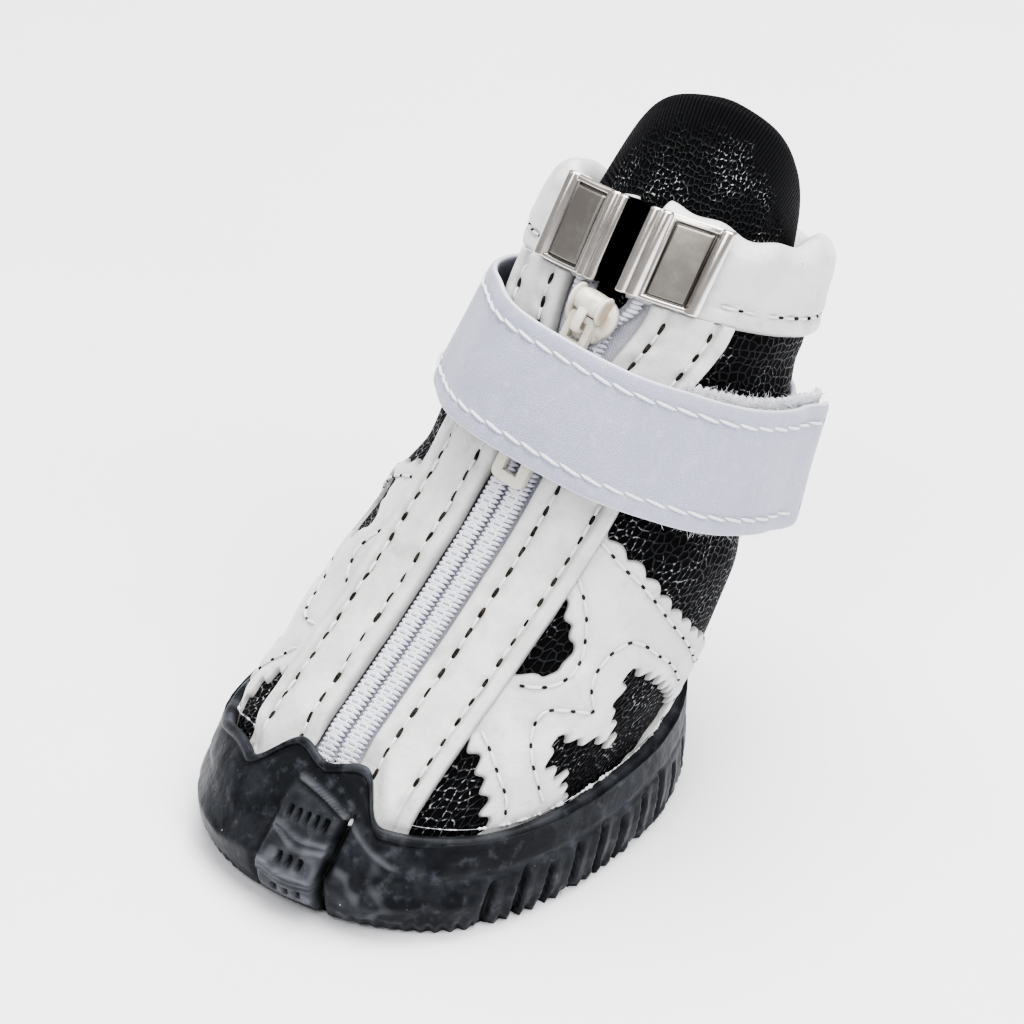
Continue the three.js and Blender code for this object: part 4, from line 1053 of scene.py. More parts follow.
RIGHT_SEAMS = [
    [(-14.5, 4.04), (-20, 3.95), (-25, 3.82), (-32, 3.55), (-38, 3.36), (-45, 3.08), (-52, 2.8), (-58, 2.54),
     (-68, 2.32), (-78, 2.26), (-88, 2.3)],
    [(-15.5, 3.62), (-19, 3.42), (-20.3, 3.2), (-18, 3.0), (-15.8, 2.94)],
    [(-18, 2.66), (-22, 2.6), (-26, 2.64), (-28.5, 2.9), (-32, 3.06), (-38, 2.98), (-46, 2.72), (-56, 2.36)],
    [(-19, 2.46), (-24, 2.24), (-28, 2.0), (-31, 1.6), (-33, 1.2)],
    [(-62.5, 2.2), (-62.8, 1.7), (-63, 1.1)],
]

def seam_lines(seams):
    """The seams as even lines in millimetres on the unrolled skin."""
    return [even(rounded(unrolled(seam), 2, closed=False), 0.5)[0] for seam in seams]

print("seams:", len(LEFT_SEAMS), "and", len(RIGHT_SEAMS))

# %% Both panels
def side_panel(name, side, top, cut_outs, seams):
    """One side's panel: its outline, its cut-outs and the dents of its seams."""
    cut_outs = [pinked(cut, *CUT_SCALLOPS, soft=True, grow=0.4) for cut in cut_outs]
    shape, wear = panel([panel_loop(side, top), *cut_outs], seam_lines(seams))
    add_piece(name, shape, panel_leather, "lining", wear=wear)

side_panel("side_panel_left", 1, LEFT_TOP, LEFT_CUTS, LEFT_SEAMS)
side_panel("side_panel_right", -1, RIGHT_TOP, RIGHT_CUTS, RIGHT_SEAMS)

# %% [markdown]
# ## The facings
# On each side of the zip runs a strip of leather, folded in along its inner edge, stitched twice,
# and folded over along its outer edge. Its cross-section is one closed profile, carried up the
# front: the thickness rises quickly at the folds and dips under each row of stitches.

# %% A facing's profile
FACING_INNER, FACING_WIDTH, SPREAD_FROM, SPREAD_TO, SPREAD_BY = 4.1, 12.5, 5.3, 6.2, 2.6
INNER_SEAM, OUTER_SEAM, FOLD = 3.1, 9.6, 10.5  # across the strip, from its inner edge

def facing_edge(level):
    """The inner edge's distance from the front line: constant, then spreading at the slider."""
    return FACING_INNER + SPREAD_BY * smooth(SPREAD_FROM, SPREAD_TO, level)

def facing_top(x):
    """Thickness across the strip: a roll at the zip, two stitched valleys and a fold at the outer edge."""
    roll_in = 1.8 * rounded_edge(x, 1.25) - 0.52 * smooth(1.3, 3.6, x)
    seams = 0.45 * ridge(x, INNER_SEAM, 0.75) + 0.34 * ridge(x, OUTER_SEAM, 0.55)
    fold = 0.5 * smooth(FOLD - 0.35, FOLD + 0.15, x) - 0.22 * smooth(FOLD + 0.2, FACING_WIDTH, x)
    return (roll_in - seams + fold) * rounded_edge(FACING_WIDTH - x, 0.55)

TOP_COLUMNS = 46
over = FACING_WIDTH * (1 - np.cos(np.linspace(0, math.pi, TOP_COLUMNS))) / 2
across = np.concatenate([over, np.linspace(FACING_WIDTH, 0, 10)[1:-1]])
on_top = np.arange(len(across)) < TOP_COLUMNS
STRIP_LEVELS = np.linspace(1.1, 6.3, 190)[:, None]
# Darker lines across the strip: wear at its outer edge, and painted shade at the fold, in the crevice by the zip
# and in the stitched valleys.
FACING_WEAR = ((FACING_WIDTH, 0.9, 0.3), (FOLD - 0.35, 0.6, 0.22), (0, 0.9, 0.35), (INNER_SEAM, 0.4, 0.4),
               (OUTER_SEAM, 0.35, 0.35))  # place across, how much, width

def facing_place(side, level, x, out):
    """A place on a facing: x is across the strip from its inner edge."""
    return front(level, side * (facing_edge(level) + x), out)

print("facing:", FACING_WIDTH, "mm wide, thickest", facing_top(across).max().round(2), "mm")

# %% Both facings
def build_facing(side, name):
    """The profile carried up the front, puckered along its seams, with soft ripples on its top."""
    puckers = 0.16 * np.sin(height(STRIP_LEVELS) * 2 * math.pi / 3.5)
    pull = 1 + puckers * (ridge(across, INNER_SEAM, 1.2) + ridge(across, OUTER_SEAM, 1.0))
    rings = facing_place(side, STRIP_LEVELS, across, GAP + on_top * facing_top(across) * pull)
    soft = (0.14 * ripple(rings, 8.5, 4 + side) + 0.04 * ripple(rings, 3.4, 6 + side)) * on_top
    rings += soft[..., None] * skin_normal(STRIP_LEVELS, 0.3 * side)
    rubbed = sum(amount * ridge(across, at, width) for at, amount, width in FACING_WEAR)
    # Off the top, the strip's underside is marked in full: painted shade.
    wear = np.broadcast_to(np.where(on_top, rubbed, 1.0), soft.shape)
    if side < 0:
        rings, wear = rings[:, ::-1], wear[:, ::-1]
    piece = add_piece(f"facing_strip_{name}", sections(rings), white_leather, "leather", wear=wear)
    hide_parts(f"facing_{name}")

build_facing(-1, "right")
build_facing(1, "left")

# %% [markdown]
# ## The zip
# A coil zip is a nylon spiral sewn to each tape. Only the tops of its loops show, as two rows of
# small bars with a chain of sewing thread along each row. Each bar and each stitch is one small
# closed shape, worked out once and repeated along the front line at an even pitch.

# %% Levels at an even pitch up the front
def pitched_levels(low, high, pitch):
    """Levels an even distance apart up the front line, and how much level a millimetre is there."""
    levels = np.linspace(low, high, 400)
    run = run_along(front(levels, 0.0, 0.0))
    at = np.interp(np.arange(pitch / 2, run[-1], pitch), run, levels)
    return at, np.interp(at, levels[1:], np.diff(levels) / np.diff(run))

COIL_PITCH, CHAIN_STITCH = 0.78, 1.56
SLIDER_LEVEL, OPEN_TOP = 6.0, 6.42

def zip_inner(level):
    """The tape's inner edge: at the middle below the slider, and leaving it above."""
    return mix(0.2, 2.95, smooth(SLIDER_LEVEL - 0.12, SLIDER_LEVEL + 0.24, level))

def coil_bars(side, low, high, spread=0.0, length=3.5):
    """Rounded bars across the zip, highest near its middle; the ring round each is an ellipse."""
    levels, step = pitched_levels(low, high, COIL_PITCH)
    levels = levels + (0.25 * COIL_PITCH * side) * step
    x = np.linspace(0, 1, 8)[None, :, None]
    turn = full_turn(6)
    level, step = levels[:, None, None], step[:, None, None]
    thin = np.sqrt(np.clip(1 - (2 * x - 1) ** 6, 0.05, 1))
    d = side * (zip_inner(level) - 0.1 + spread + length * x)
    out = 0.55 + 0.95 * np.sin(math.pi * np.clip(0.2 + 0.72 * x, 0, 1)) + 0.38 * thin * np.cos(turn)
    rings = front(level + 0.38 * thin * np.sin(turn) * step, d, out)
    return many_sections(rings[:, :, ::side])

OVAL_STEPS, THREAD_STEPS = 14, 5

def chain_loops(side, low, high):
    """A row of flat oval rings of thread laid over the bars: a small circle carried round an oval."""
    levels, step = pitched_levels(low, high, CHAIN_STITCH)
    round_oval = full_turn(OVAL_STEPS)[:, None]
    turn = full_turn(THREAD_STEPS)
    level, step = levels[:, None, None], step[:, None, None]
    reach = 1 + 0.28 * np.cos(turn)
    d = side * (1.75 + 0.78 * reach * np.cos(round_oval))
    along = (0.72 * np.sin(round_oval) * reach) * step
    rings = front(level + along, d, 1.55 + 0.24 * np.sin(turn))
    a = np.arange(OVAL_STEPS * THREAD_STEPS).reshape(OVAL_STEPS, THREAD_STEPS)
    b = np.roll(a, -1, axis=0)
    faces = np.stack([a, np.roll(a, -1, 1), np.roll(b, -1, 1), b], -1).reshape(-1, 4)
    return many(rings.reshape(len(levels), -1, 3), faces[:, ::side])

print("zip: a coil loop every", COIL_PITCH, "mm, the slider at level", SLIDER_LEVEL)

# %% Coil, sewing thread and tapes
TAPE_OUTER = 8.6
for side, name in ((-1, "right"), (1, "left")):
    bars = join([coil_bars(side, 1.6, 5.9), coil_bars(side, 5.9, OPEN_TOP, 1.2, 1.9)])
    coil = add_piece(f"coil_loops_{name}", bars, coil_nylon, "coil")
    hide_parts(f"zip_coil_{name}")
    add_piece(f"coil_sewing_{name}", chain_loops(side, 1.6, 5.86), white_thread, "thread")
    levels = np.linspace(1.5, 6.95, 120)[:, None]
    shares = np.linspace(0, 1, 12)[None]
    edge = zip_inner(levels)
    d = side * (mix(edge, TAPE_OUTER, shares) if side > 0 else mix(TAPE_OUTER, edge, shares))
    waves = 0.06 * np.sin(height(levels) * 2.4)
    skins = [front(levels, d, off + waves) for off in (-0.25, -0.95)]
    # Painted shade on the tape where the facing overhangs it, below the slider.
    soiled = smooth(3.5, 3.75, np.abs(d)) * (1 - smooth(5.3, 5.7, levels))
    flat = millimetre_map(d, height(levels))
    tape = add_piece(f"woven_tape_{name}", slab(*skins), tape_cloth, "tape", uv=flat, wear=soiled)
    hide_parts(f"zip_tape_{name}")

# %% [markdown]
# ## Slider and pull
# The slider is a small enamelled casting: a rounded wedge over the coil, a drum that hides the
# chain's way through, and an arch that holds the pull. The pull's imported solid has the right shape,
# so a copy of it is merged and gets rounded edges.

# %% The slider's own axes
def bare_front(level, d, out):
    """A place in front of the smooth skin, without its creases."""
    return off_skin(level, angle_at(level, d + twist(level)), out)

slider_at = bare_front(SLIDER_LEVEL, 0.0, 1.7)
slider_up = unit(bare_front(6.1, 0.0, 0.0) - bare_front(4.4, 0.0, 0.0))
slider_across = bare_front(6.0, 0.3, 0.0) - bare_front(6.0, -0.3, 0.0)
slider_across = unit(slider_across - slider_up * (slider_across @ slider_up))
slider_out = np.cross(slider_across, slider_up)

def on_slider(x, y, z):
    """A place across, up and out from the slider's seat, in mm."""
    x, y, z = np.broadcast_arrays(x, y, z)
    return slider_at + x[..., None] * slider_across + y[..., None] * slider_up + z[..., None] * slider_out

print("slider seated at", slider_at.round(1))

# %% Wedge, drum, flange and arch
def drum(middle_x, half, radius, rise, up_at, bulge=4):
    """A short roller lying across: circles whose radius falls off to its rounded ends, flattened below."""
    x = half * np.sin(np.linspace(-math.pi / 2, math.pi / 2, 15))[:, None]
    r = radius * np.clip(1 - np.abs(x / (half * 1.002)) ** bulge, 0.0004, 1) ** (1 / bulge)
    turn = full_turn(28)
    out = r * np.sin(turn)
    return sections(on_slider(middle_x + x, up_at + r * np.cos(turn), np.maximum(rise + out, 1.3 + 0.02 * out)))

WEDGE = np.array([(0.1, 0.3), (0.92, 0.3), (1, 0.5), (1, 1.15), (0.97, 1.4), (0.9, 1.62), (0.7, 1.85), (0.3, 1.98),
                  (0.05, 2.0)])  # scale of the outline, height
turn = full_turn(48)
wedge_y = -3.8 * squared(np.cos(turn), 2.8)
wedge_x = (4.4 - 1.1 * smooth(-0.5, 3.8, -wedge_y)) * squared(np.sin(turn), 3.2)
wedge = sections(on_slider(wedge_x * WEDGE[:, :1], wedge_y * WEDGE[:, :1], WEDGE[:, 1:]))
arch_line = rounded(np.array([(-2.4, 1.5), (-2.4, 3.5), (-1.9, 4.0), (0.4, 4.0), (1.6, 3.4)]), 2, closed=False)
arch_ahead = unit(np.gradient(arch_line, axis=0))
arch_turn = full_turn(12)
arch_rise = 0.45 * np.sin(arch_turn)
arch = sections(on_slider(0.85 * np.cos(arch_turn), arch_line[:, :1] - arch_rise * arch_ahead[:, 1:],
                          arch_line[:, 1:] + arch_rise * arch_ahead[:, :1]))
flanges = [drum(2.55, 0.42, 2.25, 2.4, 2.0, 3), drum(-2.55, 0.42, 2.2, 2.4, 2.0, 3)]
slider_shape = join([wedge, drum(0, 2.5, 1.85, 2.4, 2.1), *flanges, arch])
local = (slider_shape[0] - slider_at) @ np.stack([slider_across, slider_up, slider_out], -1)
# Darker brown along the rims of the flanges and round the foot.
edge_wear = ridge(np.abs(local[:, 0]), 2.98, 0.16) * smooth(1.2, 1.8, local[:, 2])
edge_wear += 0.7 * ridge(local[:, 2], 0.4, 0.3)
slider = add_piece("enamel_slider", slider_shape, enamel, "enamel", wear=np.clip(edge_wear, 0, 1))
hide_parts("zip_slider")

# %% Pull
pull_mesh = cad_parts["zip_pull"].data.copy()
shell = bmesh.new()
shell.from_mesh(pull_mesh)
bmesh.ops.remove_doubles(shell, verts=shell.verts, dist=1e-6)
bmesh.ops.dissolve_limit(shell, angle_limit=0.02, verts=shell.verts, edges=shell.edges)
shell.to_mesh(pull_mesh)
shell.free()
pull_mesh.materials.clear()
pull_mesh.materials.append(enamel)
pull = put_in_scene("enamel_pull", pull_mesh)
rounding = pull.modifiers.new("rounded_edges", "BEVEL")
rounding.width, rounding.segments = 0.35 * MM, 4
rounding.limit_method, rounding.angle_limit = "ANGLE", math.radians(35)
pull_mesh.shade_smooth()
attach(pull, "zip_pull")
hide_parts("zip_pull")
print("pull:", len(pull_mesh.vertices), "points before its edges are rounded")

# %% [markdown]
# ## Collar binding
# A strip of soft leather is wrapped over the top edge and stitched through, and it stands up like
# a pad between its seams. Its profile, a closed loop over the edge, is carried round the ring. The
# padding, the wavy top and the puckers at the seam are shifts of that profile.

# %% Profile and path
BINDING_SEAM, BINDING_OUT, END_GAP = 6.47, 1.75, 2.7
# level, mm off the skin
PROFILE = np.array([
    (6.27, 0.85), (6.27, 0.38), (6.5, 0.36), (6.75, 0.36), (7.02, 0.35), (7.02, -2.2), (6.8, -2.2), (6.6, -2.2),
    (6.6, -3.1), (6.95, -3.2), (7.1, -1.9), (7.14, -0.3), (7.06, 1.35), (6.8, BINDING_OUT), (6.45, BINDING_OUT),
    (6.3, 1.55),
])
profile, _ = even(rounded(PROFILE * (LEVEL_MM, 1), 1), 0.55, closed=True)
profile = profile[: len(profile) // 2 * 2]
top_run = float(half_run(7.0))
stations = np.linspace(END_GAP, 2 * top_run - END_GAP, 340)[:, None]
collar_level, collar_off = profile[:, 0] / LEVEL_MM, profile[:, 1]
collar_d = stations * (half_run(collar_level) / top_run)
outside = smooth(-0.6, 0.2, collar_off)
padding = 0.35 * box_mask(collar_level, 6.52, 7.06, 0.06) * outside
puckers = 1 + 0.35 * np.sin(stations * 2 * math.pi / 3.6)
seam_dip = 0.55 * ridge(collar_level, BINDING_SEAM, 0.035) * outside * puckers
flat = np.stack(np.broadcast_arrays(collar_d, profile[:, 0], collar_off), -1)
folds = 0.32 * ripple(flat, 8.5, 6) * outside * 0.7
sag = 0.045 * np.sin(stations * 0.21 + 0.6) + 0.02 * np.sin(stations * 0.67)
collar_level = collar_level + sag * smooth(6.5, 7.0, collar_level)
collar_rings = front(collar_level, collar_d, collar_off + padding - seam_dip + folds)
collar = add_piece("padded_binding", sections(collar_rings[:, ::-1]), collar_leather, "leather")
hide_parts("collar_binding")

# %% [markdown]
# ## End clips
# Each end of the binding is gripped by a folded metal clip: a flat plate between rolled edges, with
# two round ridges beside the opening and a groove between. Its cross-section is the same at every
# height, so one path across is carried up, thinned at both ends so that the sheet looks rounded.

# %% Clips
CLIP_LOW, CLIP_HIGH, CLIP_WIDTH, CLIP_HALF_GAP, CLIP_THICK = 6.33, 7.12, 11.6, 1.8, 0.8
CLIP_HEIGHT = (CLIP_HIGH - CLIP_LOW) * LEVEL_MM
outer_x = CLIP_WIDTH * (1 - np.linspace(0, 1, 90))
bend = np.linspace(0, math.pi, 14)[1:-1]
leg = np.linspace(0, CLIP_WIDTH - 4, 10)

def arch_over(x, low, high):
    """Half an ellipse between two places, 0 outside them."""
    return np.sqrt(np.clip(1 - ((x - (low + high) / 2) / ((high - low) / 2)) ** 2, 0, 1))

def clip_relief(x):
    """The face's height from the opening outwards: two ridges, a groove, the plate and a rolled edge."""
    rolls = 0.8 * arch_over(x, -0.1, 1.6) + 0.62 * arch_over(x, 1.6, 3.1)
    rolls += 0.75 * arch_over(x, 9.9, CLIP_WIDTH + 0.05)
    return rolls - 0.12 * box_mask(x, 3.2, 9.9, 0.1)

def clip_path(*parts):
    """The path across a clip, from (across from the opening, off the skin) for its face, bend and leg."""
    joined = np.concatenate([np.stack(np.broadcast_arrays(*part), -1) for part in parts])
    return joined + (CLIP_HALF_GAP, 0)

out_path = clip_path((outer_x, 2.9 + clip_relief(outer_x)), (-0.35 * np.sin(bend), -0.7 + 3.6 * np.cos(bend)),
                     (leg, -4.35))
in_path = clip_path((np.maximum(outer_x, CLIP_THICK), 2.1), (CLIP_THICK, -0.7 + 2.8 * np.cos(bend)),
                    (np.maximum(leg, CLIP_THICK), -3.55))

def build_clip(side, name):
    """The two paths carried up the opening's edge, with the plate sunk in its frame."""
    v = ((1 - np.cos(np.linspace(0, math.pi, 90))) / 2)[:, None]
    span = v * CLIP_HEIGHT
    full = rounded_edge(np.minimum(v, 1 - v) * CLIP_HEIGHT, 0.35)[..., None]
    x = np.concatenate([outer_x, 0 * bend, leg])
    on_face = np.arange(len(x)) < len(outer_x)
    plate = on_face * box_mask(x, 4.15, 9.2, 0.06) * box_mask(span, 1.15, CLIP_HEIGHT - 1.15, 0.06)
    framed = on_face * box_mask(x, 3.7, 9.65, 0.06) * box_mask(span, 0.7, CLIP_HEIGHT - 0.7, 0.06)
    middle = (out_path + in_path) / 2
    skins = []
    for path, inset in ((out_path, 0.42 * plate - 0.5 * framed), (in_path, 0)):
        at = middle + (path - middle) * (0.25 + 0.75 * full)
        skins.append(bare_front(mix(CLIP_LOW, CLIP_HIGH, v), side * at[..., 0], at[..., 1] + inset))
    # Painted shadow at the opening's edge, in the groove round the plate, in the bend and on the inner sheet.
    groove = np.maximum(1 - smooth(-0.2, 0.25, x), 0.85 * (framed - plate).clip(0, 1))
    throat = np.where(on_face, groove, 1.0)
    path_run = run_along(out_path)
    if side > 0:
        skins = [grid[:, ::-1] for grid in skins]
        plate, throat, path_run = plate[:, ::-1], throat[:, ::-1], path_run[::-1]
    clip = add_piece(f"folded_clip_{name}", slab(*skins), nickel, "nickel", uv=millimetre_map(path_run, span),
                     plate=np.stack([plate, 0 * plate]), throat=np.stack([throat, 0 * throat + 1]))
    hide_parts(f"end_clip_{name}")

build_clip(-1, "right")
build_clip(1, "left")

# %% [markdown]
# ## The tongue
# Behind the zip a padded tongue rises above the collar and ends in a dome, with a ribbed knit band
# bound round its edge. It is one grid, row by row up the boot; its thickness falls off in a quarter
# circle near the outline, so the front and back meet in a rounded edge.

# %% The tongue's outline
DOME_HALF, DOME_FROM, DOME_RISE, DOME_SHIFT, DOME_LEAN = 33.5, 6.5, 1.62, 11.5, 8.5
TONGUE_HALF, TONGUE_THICK = 15.5, 3.2
below = np.linspace(2.3, DOME_FROM, 44)[:-1]
dome_turn = np.linspace(0, math.radians(88), 60)
level = np.concatenate([below, DOME_FROM + DOME_RISE * squared(np.sin(dome_turn), 1.8)])[:, None]
foot_half = mix(TONGUE_HALF, DOME_HALF, smooth(5, DOME_FROM, below))
tongue_half = np.concatenate([foot_half, DOME_HALF * squared(np.cos(dome_turn), 1.8)])[:, None]
tongue_d = tongue_half * np.sin(np.linspace(-math.pi / 2, math.pi / 2, 121))
tongue_d += DOME_SHIFT * smooth(6.2, 7.2, level) - DOME_LEAN * smooth(6.9, 8.08, level)
chart = np.stack(np.broadcast_arrays(tongue_d, level * LEVEL_MM), -1)
border = np.concatenate([chart[:, -1], chart[-1, -2::-1], chart[-2::-1, 0], chart[0, 1:-1]])
gap, rib_run, _ = nearest(chart.reshape(-1, 2), border)
gap, rib_run = gap.reshape(tongue_d.shape), rib_run.reshape(tongue_d.shape)
print("tongue outline:", len(border), "points")

# %% The tongue's padding, band and dome
upper_part = smooth(5.6, 6.1, level)
band = (1 - smooth(4.6, 8.6, gap + 1.2 * ripple(chart.repeat(2, -1)[..., :3], 7.0, 2))) * upper_part
middle = -mix(2.5, 5.0, smooth(5.2, 6.3, level)) - TONGUE_THICK / 2
body = rounded_edge(gap, 1.7) * TONGUE_THICK / 2
soft = 0.35 * ripple(skin(level, tongue_d / 40), 14.0, 3) * smooth(0, 5, gap)
roll_on = 0.45 * arch_over(gap, -0.1, 6.5) * upper_part
crown = 0.9 * smooth(6, 16, gap) * smooth(6.2, 7.0, level)
tongue_out = wrap(level, tongue_d, middle + body + roll_on + soft + crown)
tongue_in = wrap(level, tongue_d, middle - body + 0.5 * soft)
tongue = add_piece("domed_tongue", slab(tongue_out, tongue_in), tongue_mesh, "mesh",
                   uv=millimetre_map(tongue_d, height(level)), band=band, rib=rib_run)
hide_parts("tongue")

# %% [markdown]
# ## The strap
# The strap is reflective cloth over loop pile. It starts under its own free end at the boot's left,
# runs round the back and bridges the zip. Its profile is a flat rounded bar carried along that
# spiral, and its edges lift a little where it leaves the shaft.

# %% Strap path
STRAP_WIDTH, STRAP_THICK, STRAP_LEVEL, STRAP_TILT = 20, 1.5, 5.2, 0.22
STRAP_SEAM = 0.72  # share of the half width
ROUTE_TURN = np.array([-265, -120, -78, -45, -12, 24, 52, 82, 103, 119])
ROUTE_OFF = np.array([0.4, 0.4, 1.8, 2.5, 5.8, 5.8, 2.6, 2.6, 3.0, 5.2])

def strap_off(turn):
    """How far the strap's inner face is off the skin, easing from stop to stop of its route."""
    k = np.clip(np.searchsorted(ROUTE_TURN, turn), 1, len(ROUTE_TURN) - 1)
    return mix(ROUTE_OFF[k - 1], ROUTE_OFF[k], smooth(ROUTE_TURN[k - 1], ROUTE_TURN[k], turn))

def strap_middle(turn):
    """The level of the strap's middle line at degrees round the ring."""
    return STRAP_LEVEL - STRAP_TILT * np.sin(np.radians(turn))

def strap_place(turn, share, out):
    """A place on the strap: degrees round the ring, share of the half width upwards, mm off its inner face."""
    at, middle = np.radians(turn), strap_middle(turn)
    per_level = np.linalg.norm(skin(middle + 0.5, at) - skin(middle - 0.5, at), axis=-1)
    return off_skin(middle + share * STRAP_WIDTH / 2 / per_level, at, strap_off(turn) + out)

print("strap:", STRAP_WIDTH, "mm wide, from", ROUTE_TURN[0], "to", ROUTE_TURN[-1], "degrees round the ring")

# %% Strap body
bar = full_turn(56)[::-1]
bar_share = squared(np.sin(bar), 9)
bar_out = STRAP_THICK / 2 + STRAP_THICK / 2 * squared(np.cos(bar), 2.6)
turns = np.linspace(ROUTE_TURN[0], ROUTE_TURN[-1], 460)[:, None]
near_end = smooth(110, ROUTE_TURN[-1], turns)
wave = 0.22 * np.sin(np.radians(turns) * 5 + 0.8) * bar_share + 0.3 * near_end * bar_share**2
seam_press = -0.22 * ridge(np.abs(bar_share), STRAP_SEAM, 0.05) * (bar_out > 0.8)
strap_rings = strap_place(turns, bar_share * (1 - 0.02 * near_end), bar_out + wave + seam_press)
edge_wear = np.broadcast_to(smooth(0.965, 0.995, np.abs(bar_share)), strap_rings.shape[:2])
strap = add_piece("reflective_strap_band", sections(strap_rings), strap_cloth, "reflective",
                  uv=millimetre_map(np.radians(turns) * 26, bar_share * STRAP_WIDTH / 2),
                  wear=np.append(edge_wear, (0.6, 0.6)))
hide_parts("strap")

# %% Loop pile under the free end
turns = np.linspace(46, 121, 150)
shares = np.linspace(-0.9, 1.1, 24)[:, None]
tuft = 0.22 * ripple(strap_place(turns, shares, 0), 1.3, 2)
pile_edge = shares + 0.03 * np.sin(turns * 1.9) * (np.abs(shares) > 0.85)
pile_skins = [strap_place(turns, pile_edge, -0.28 + tuft), strap_place(turns, pile_edge, -1.15 + 0.5 * tuft)]
add_piece("loop_pile_band", slab(*pile_skins), pile_cloth, "hook_loop",
          uv=millimetre_map(turns * 0.45, shares * STRAP_WIDTH / 2))

# %% [markdown]
# ## Stitches
# A stitch is a short bead of thread that dips into a needle hole at each end. One bead is a row of
# rings that shrink to its ends; whole seams are that bead repeated along a line on the surface.
# Dark beads sunk between them are painted shadow, standing in for the holes that the needle and the tension leave
# open.

# %% Beads along a line
def beads(line, normals, pitch, length, radius, lift, sink=0.35, start=0.5, slant=0.0):
    """Beads at a pitch along a line: rings of six points whose radius falls off to ends that dip."""
    run = run_along(line)
    centres = np.arange(start * pitch, run[-1] - length / 2, pitch)
    t = np.linspace(-1, 1, 7)
    at = centres[:, None] + t * length / 2
    place, outward = read_along(at, run, line), unit(read_along(at, run, normals))
    sideways = np.cross(unit(np.gradient(place, axis=1)), outward)
    middle = place + outward * (lift - sink * t**4)[:, None] + sideways * (slant * t)[:, None]
    radii = radius * np.sqrt(1 - 0.88 * np.abs(t) ** 3)
    return many_sections(rings_round(middle, sideways, outward, radii, full_turn(6)[::-1]))

threads, holes = [], []

def sew(line, normals, pitch, thread, hole):
    """One seam: thread beads and the dark beads of painted shadow for the holes between them, each given as
    (length, radius, lift).
    """
    threads.append(beads(line, normals, pitch, *thread))
    holes.append(beads(line, normals, pitch, *hole, start=1.0, sink=0.1))

def add_threads(name, material):
    """Makes one piece of the threads sewn since the last one."""
    add_piece(name, join(threads), material, "thread")
    threads.clear()

# %% Seams of the panels
for seams in (LEFT_SEAMS, RIGHT_SEAMS):
    for line in seam_lines(seams):
        level = np.interp(line[:, 1], HEIGHTS, LEVELS)
        normals = skin_normal(level, angle_at(level, line[:, 0]))
        sew(wrap(level, line[:, 0], 0.52), normals, 3.3, (2.8, 0.26, 0.26), (0.85, 0.24, 0.14))
add_threads("panel_threads", pale_thread)

# %% Seams of the facings
levels = np.linspace(1.7, 6.24, 400)
for side in (-1, 1):
    for x, hole in ((INNER_SEAM, (2.1, 0.34, 0.05)), (OUTER_SEAM, (1.6, 0.29, 0.05))):
        where = facing_place(side, levels, x, GAP + facing_top(x))
        seam_angle = angle_at(levels, side * (facing_edge(levels) + x) + twist(levels))
        sew(where, skin_normal(levels, seam_angle), 3.55, (2.35, 0.25, 0.16), hole)
add_threads("facing_threads", pale_thread)

# %% Seams of the binding
d = np.linspace(14.5, 2 * top_run - 14.5, 700) * float(half_run(BINDING_SEAM)) / top_run
normals = skin_normal(BINDING_SEAM, angle_at(BINDING_SEAM, d + 2))
sew(front(BINDING_SEAM, d, BINDING_OUT - 0.42), normals, 3.6, (2.6, 0.25, 0.22), (1.0, 0.25, 0.12))
add_threads("binding_threads", pale_thread)
add_piece("needle_holes", join(holes), hole_dark, "thread")

# %% Seams of the strap
turns = np.linspace(-238, 117.5, 1800)
normals = skin_normal(strap_middle(turns), np.radians(turns))
for share, start in ((STRAP_SEAM, 0.5), (-STRAP_SEAM, 0.9)):
    where = strap_place(turns, share, STRAP_THICK - 0.08)
    threads.append(beads(where, normals, 3.5, 3.65, 0.26, 0.2, sink=0.3, start=start, slant=0.24))
add_threads("strap_threads", white_thread)

# %% [markdown]
# ## Small leftovers
# What makes it look made rather than drawn: the ragged edge of the upper's lining along the rubber,
# and loose fibres of pile at the strap's free end.

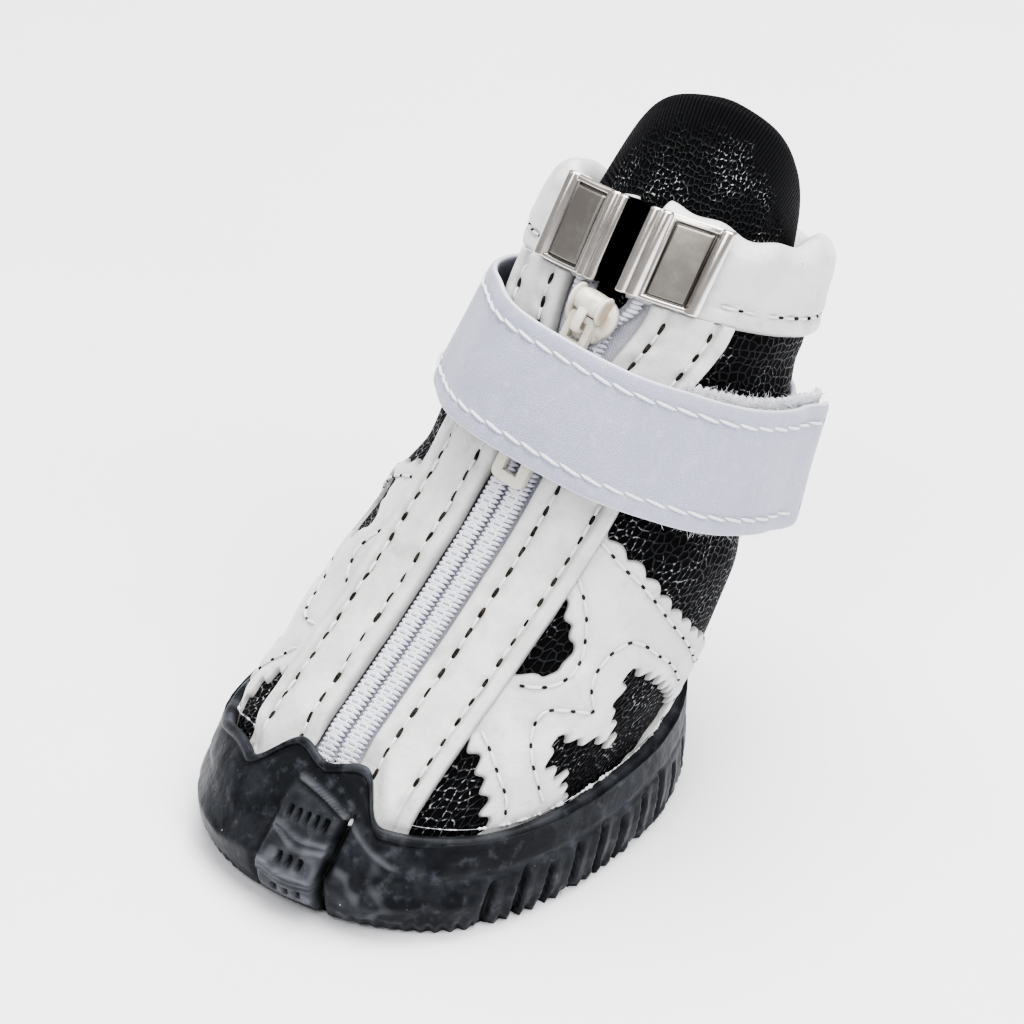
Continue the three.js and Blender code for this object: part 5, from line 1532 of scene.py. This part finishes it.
# %% Ragged lining edge along the rim
EDGE_STEPS, EDGE_FROM, EDGE_TO = 420, 0.52, 2.4
sides = []
for edge_angle in (np.linspace(EDGE_FROM, EDGE_TO, EDGE_STEPS), np.linspace(-EDGE_TO, -EDGE_FROM, EDGE_STEPS)):
    level = level_at_height(edge_angle, rim_height(edge_angle) + 0.25)
    middle = off_skin(level, edge_angle, 0.62)
    ragged = np.maximum(0.06 + 0.2 * ripple(middle, 2.1, 8) + 0.14 * ripple(middle, 0.8, 4), 0.03)
    upward = np.broadcast_to((0, 0, 1.3), middle.shape)
    sides.append(sections(rings_round(middle, skin_normal(level, edge_angle), upward, ragged, full_turn(8)[::-1])))
add_piece("lining_edge", join(sides), pile_cloth, "lining")

# %% Loose fibres
count = 420
turns = rng.uniform(52, 120, count)
shares = np.where(rng.random(count) < 0.75, rng.uniform(0.99, 1.1, count), rng.uniform(-1.0, -0.95, count))
root = strap_place(turns, shares, rng.uniform(-1.0, 0.2, count))
grow = skin_normal(STRAP_LEVEL, np.radians(turns)) * 0.6 + np.sign(shares)[:, None] * (0, 0.35, 0.9)
grow = unit(grow + 0.7 * rng.normal(size=(count, 3))) * rng.uniform(0.5, 1.5, count)[:, None]
curl = 0.5 * rng.normal(size=(count, 3))
t = np.linspace(0, 1, 5)
spine = root[:, None] + grow[:, None] * t[:, None] + curl[:, None] * t[:, None] ** 2
basis_a = unit(np.cross(grow, (0.3, 0.2, 0.9)))
basis_b = unit(np.cross(grow, basis_a))
rings = rings_round(spine, basis_a[:, None], basis_b[:, None], 0.045 * (1 - 0.7 * t), full_turn(4))
add_piece("pile_fibres", many_sections(rings), pile_cloth, "hook_loop")

# %% Insole
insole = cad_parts["insole"]
insole.data.materials.clear()
insole.data.materials.append(insole_cloth)
print("insole keeps its packed mesh")

# %% Sizes and the end
low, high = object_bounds()
visual_mm, cad_mm = ([round(1000 * v, 1) for v in size] for size in (high - low, cad_high - cad_low))
print("visual box", visual_mm, "mm, packed box", cad_mm, "mm")
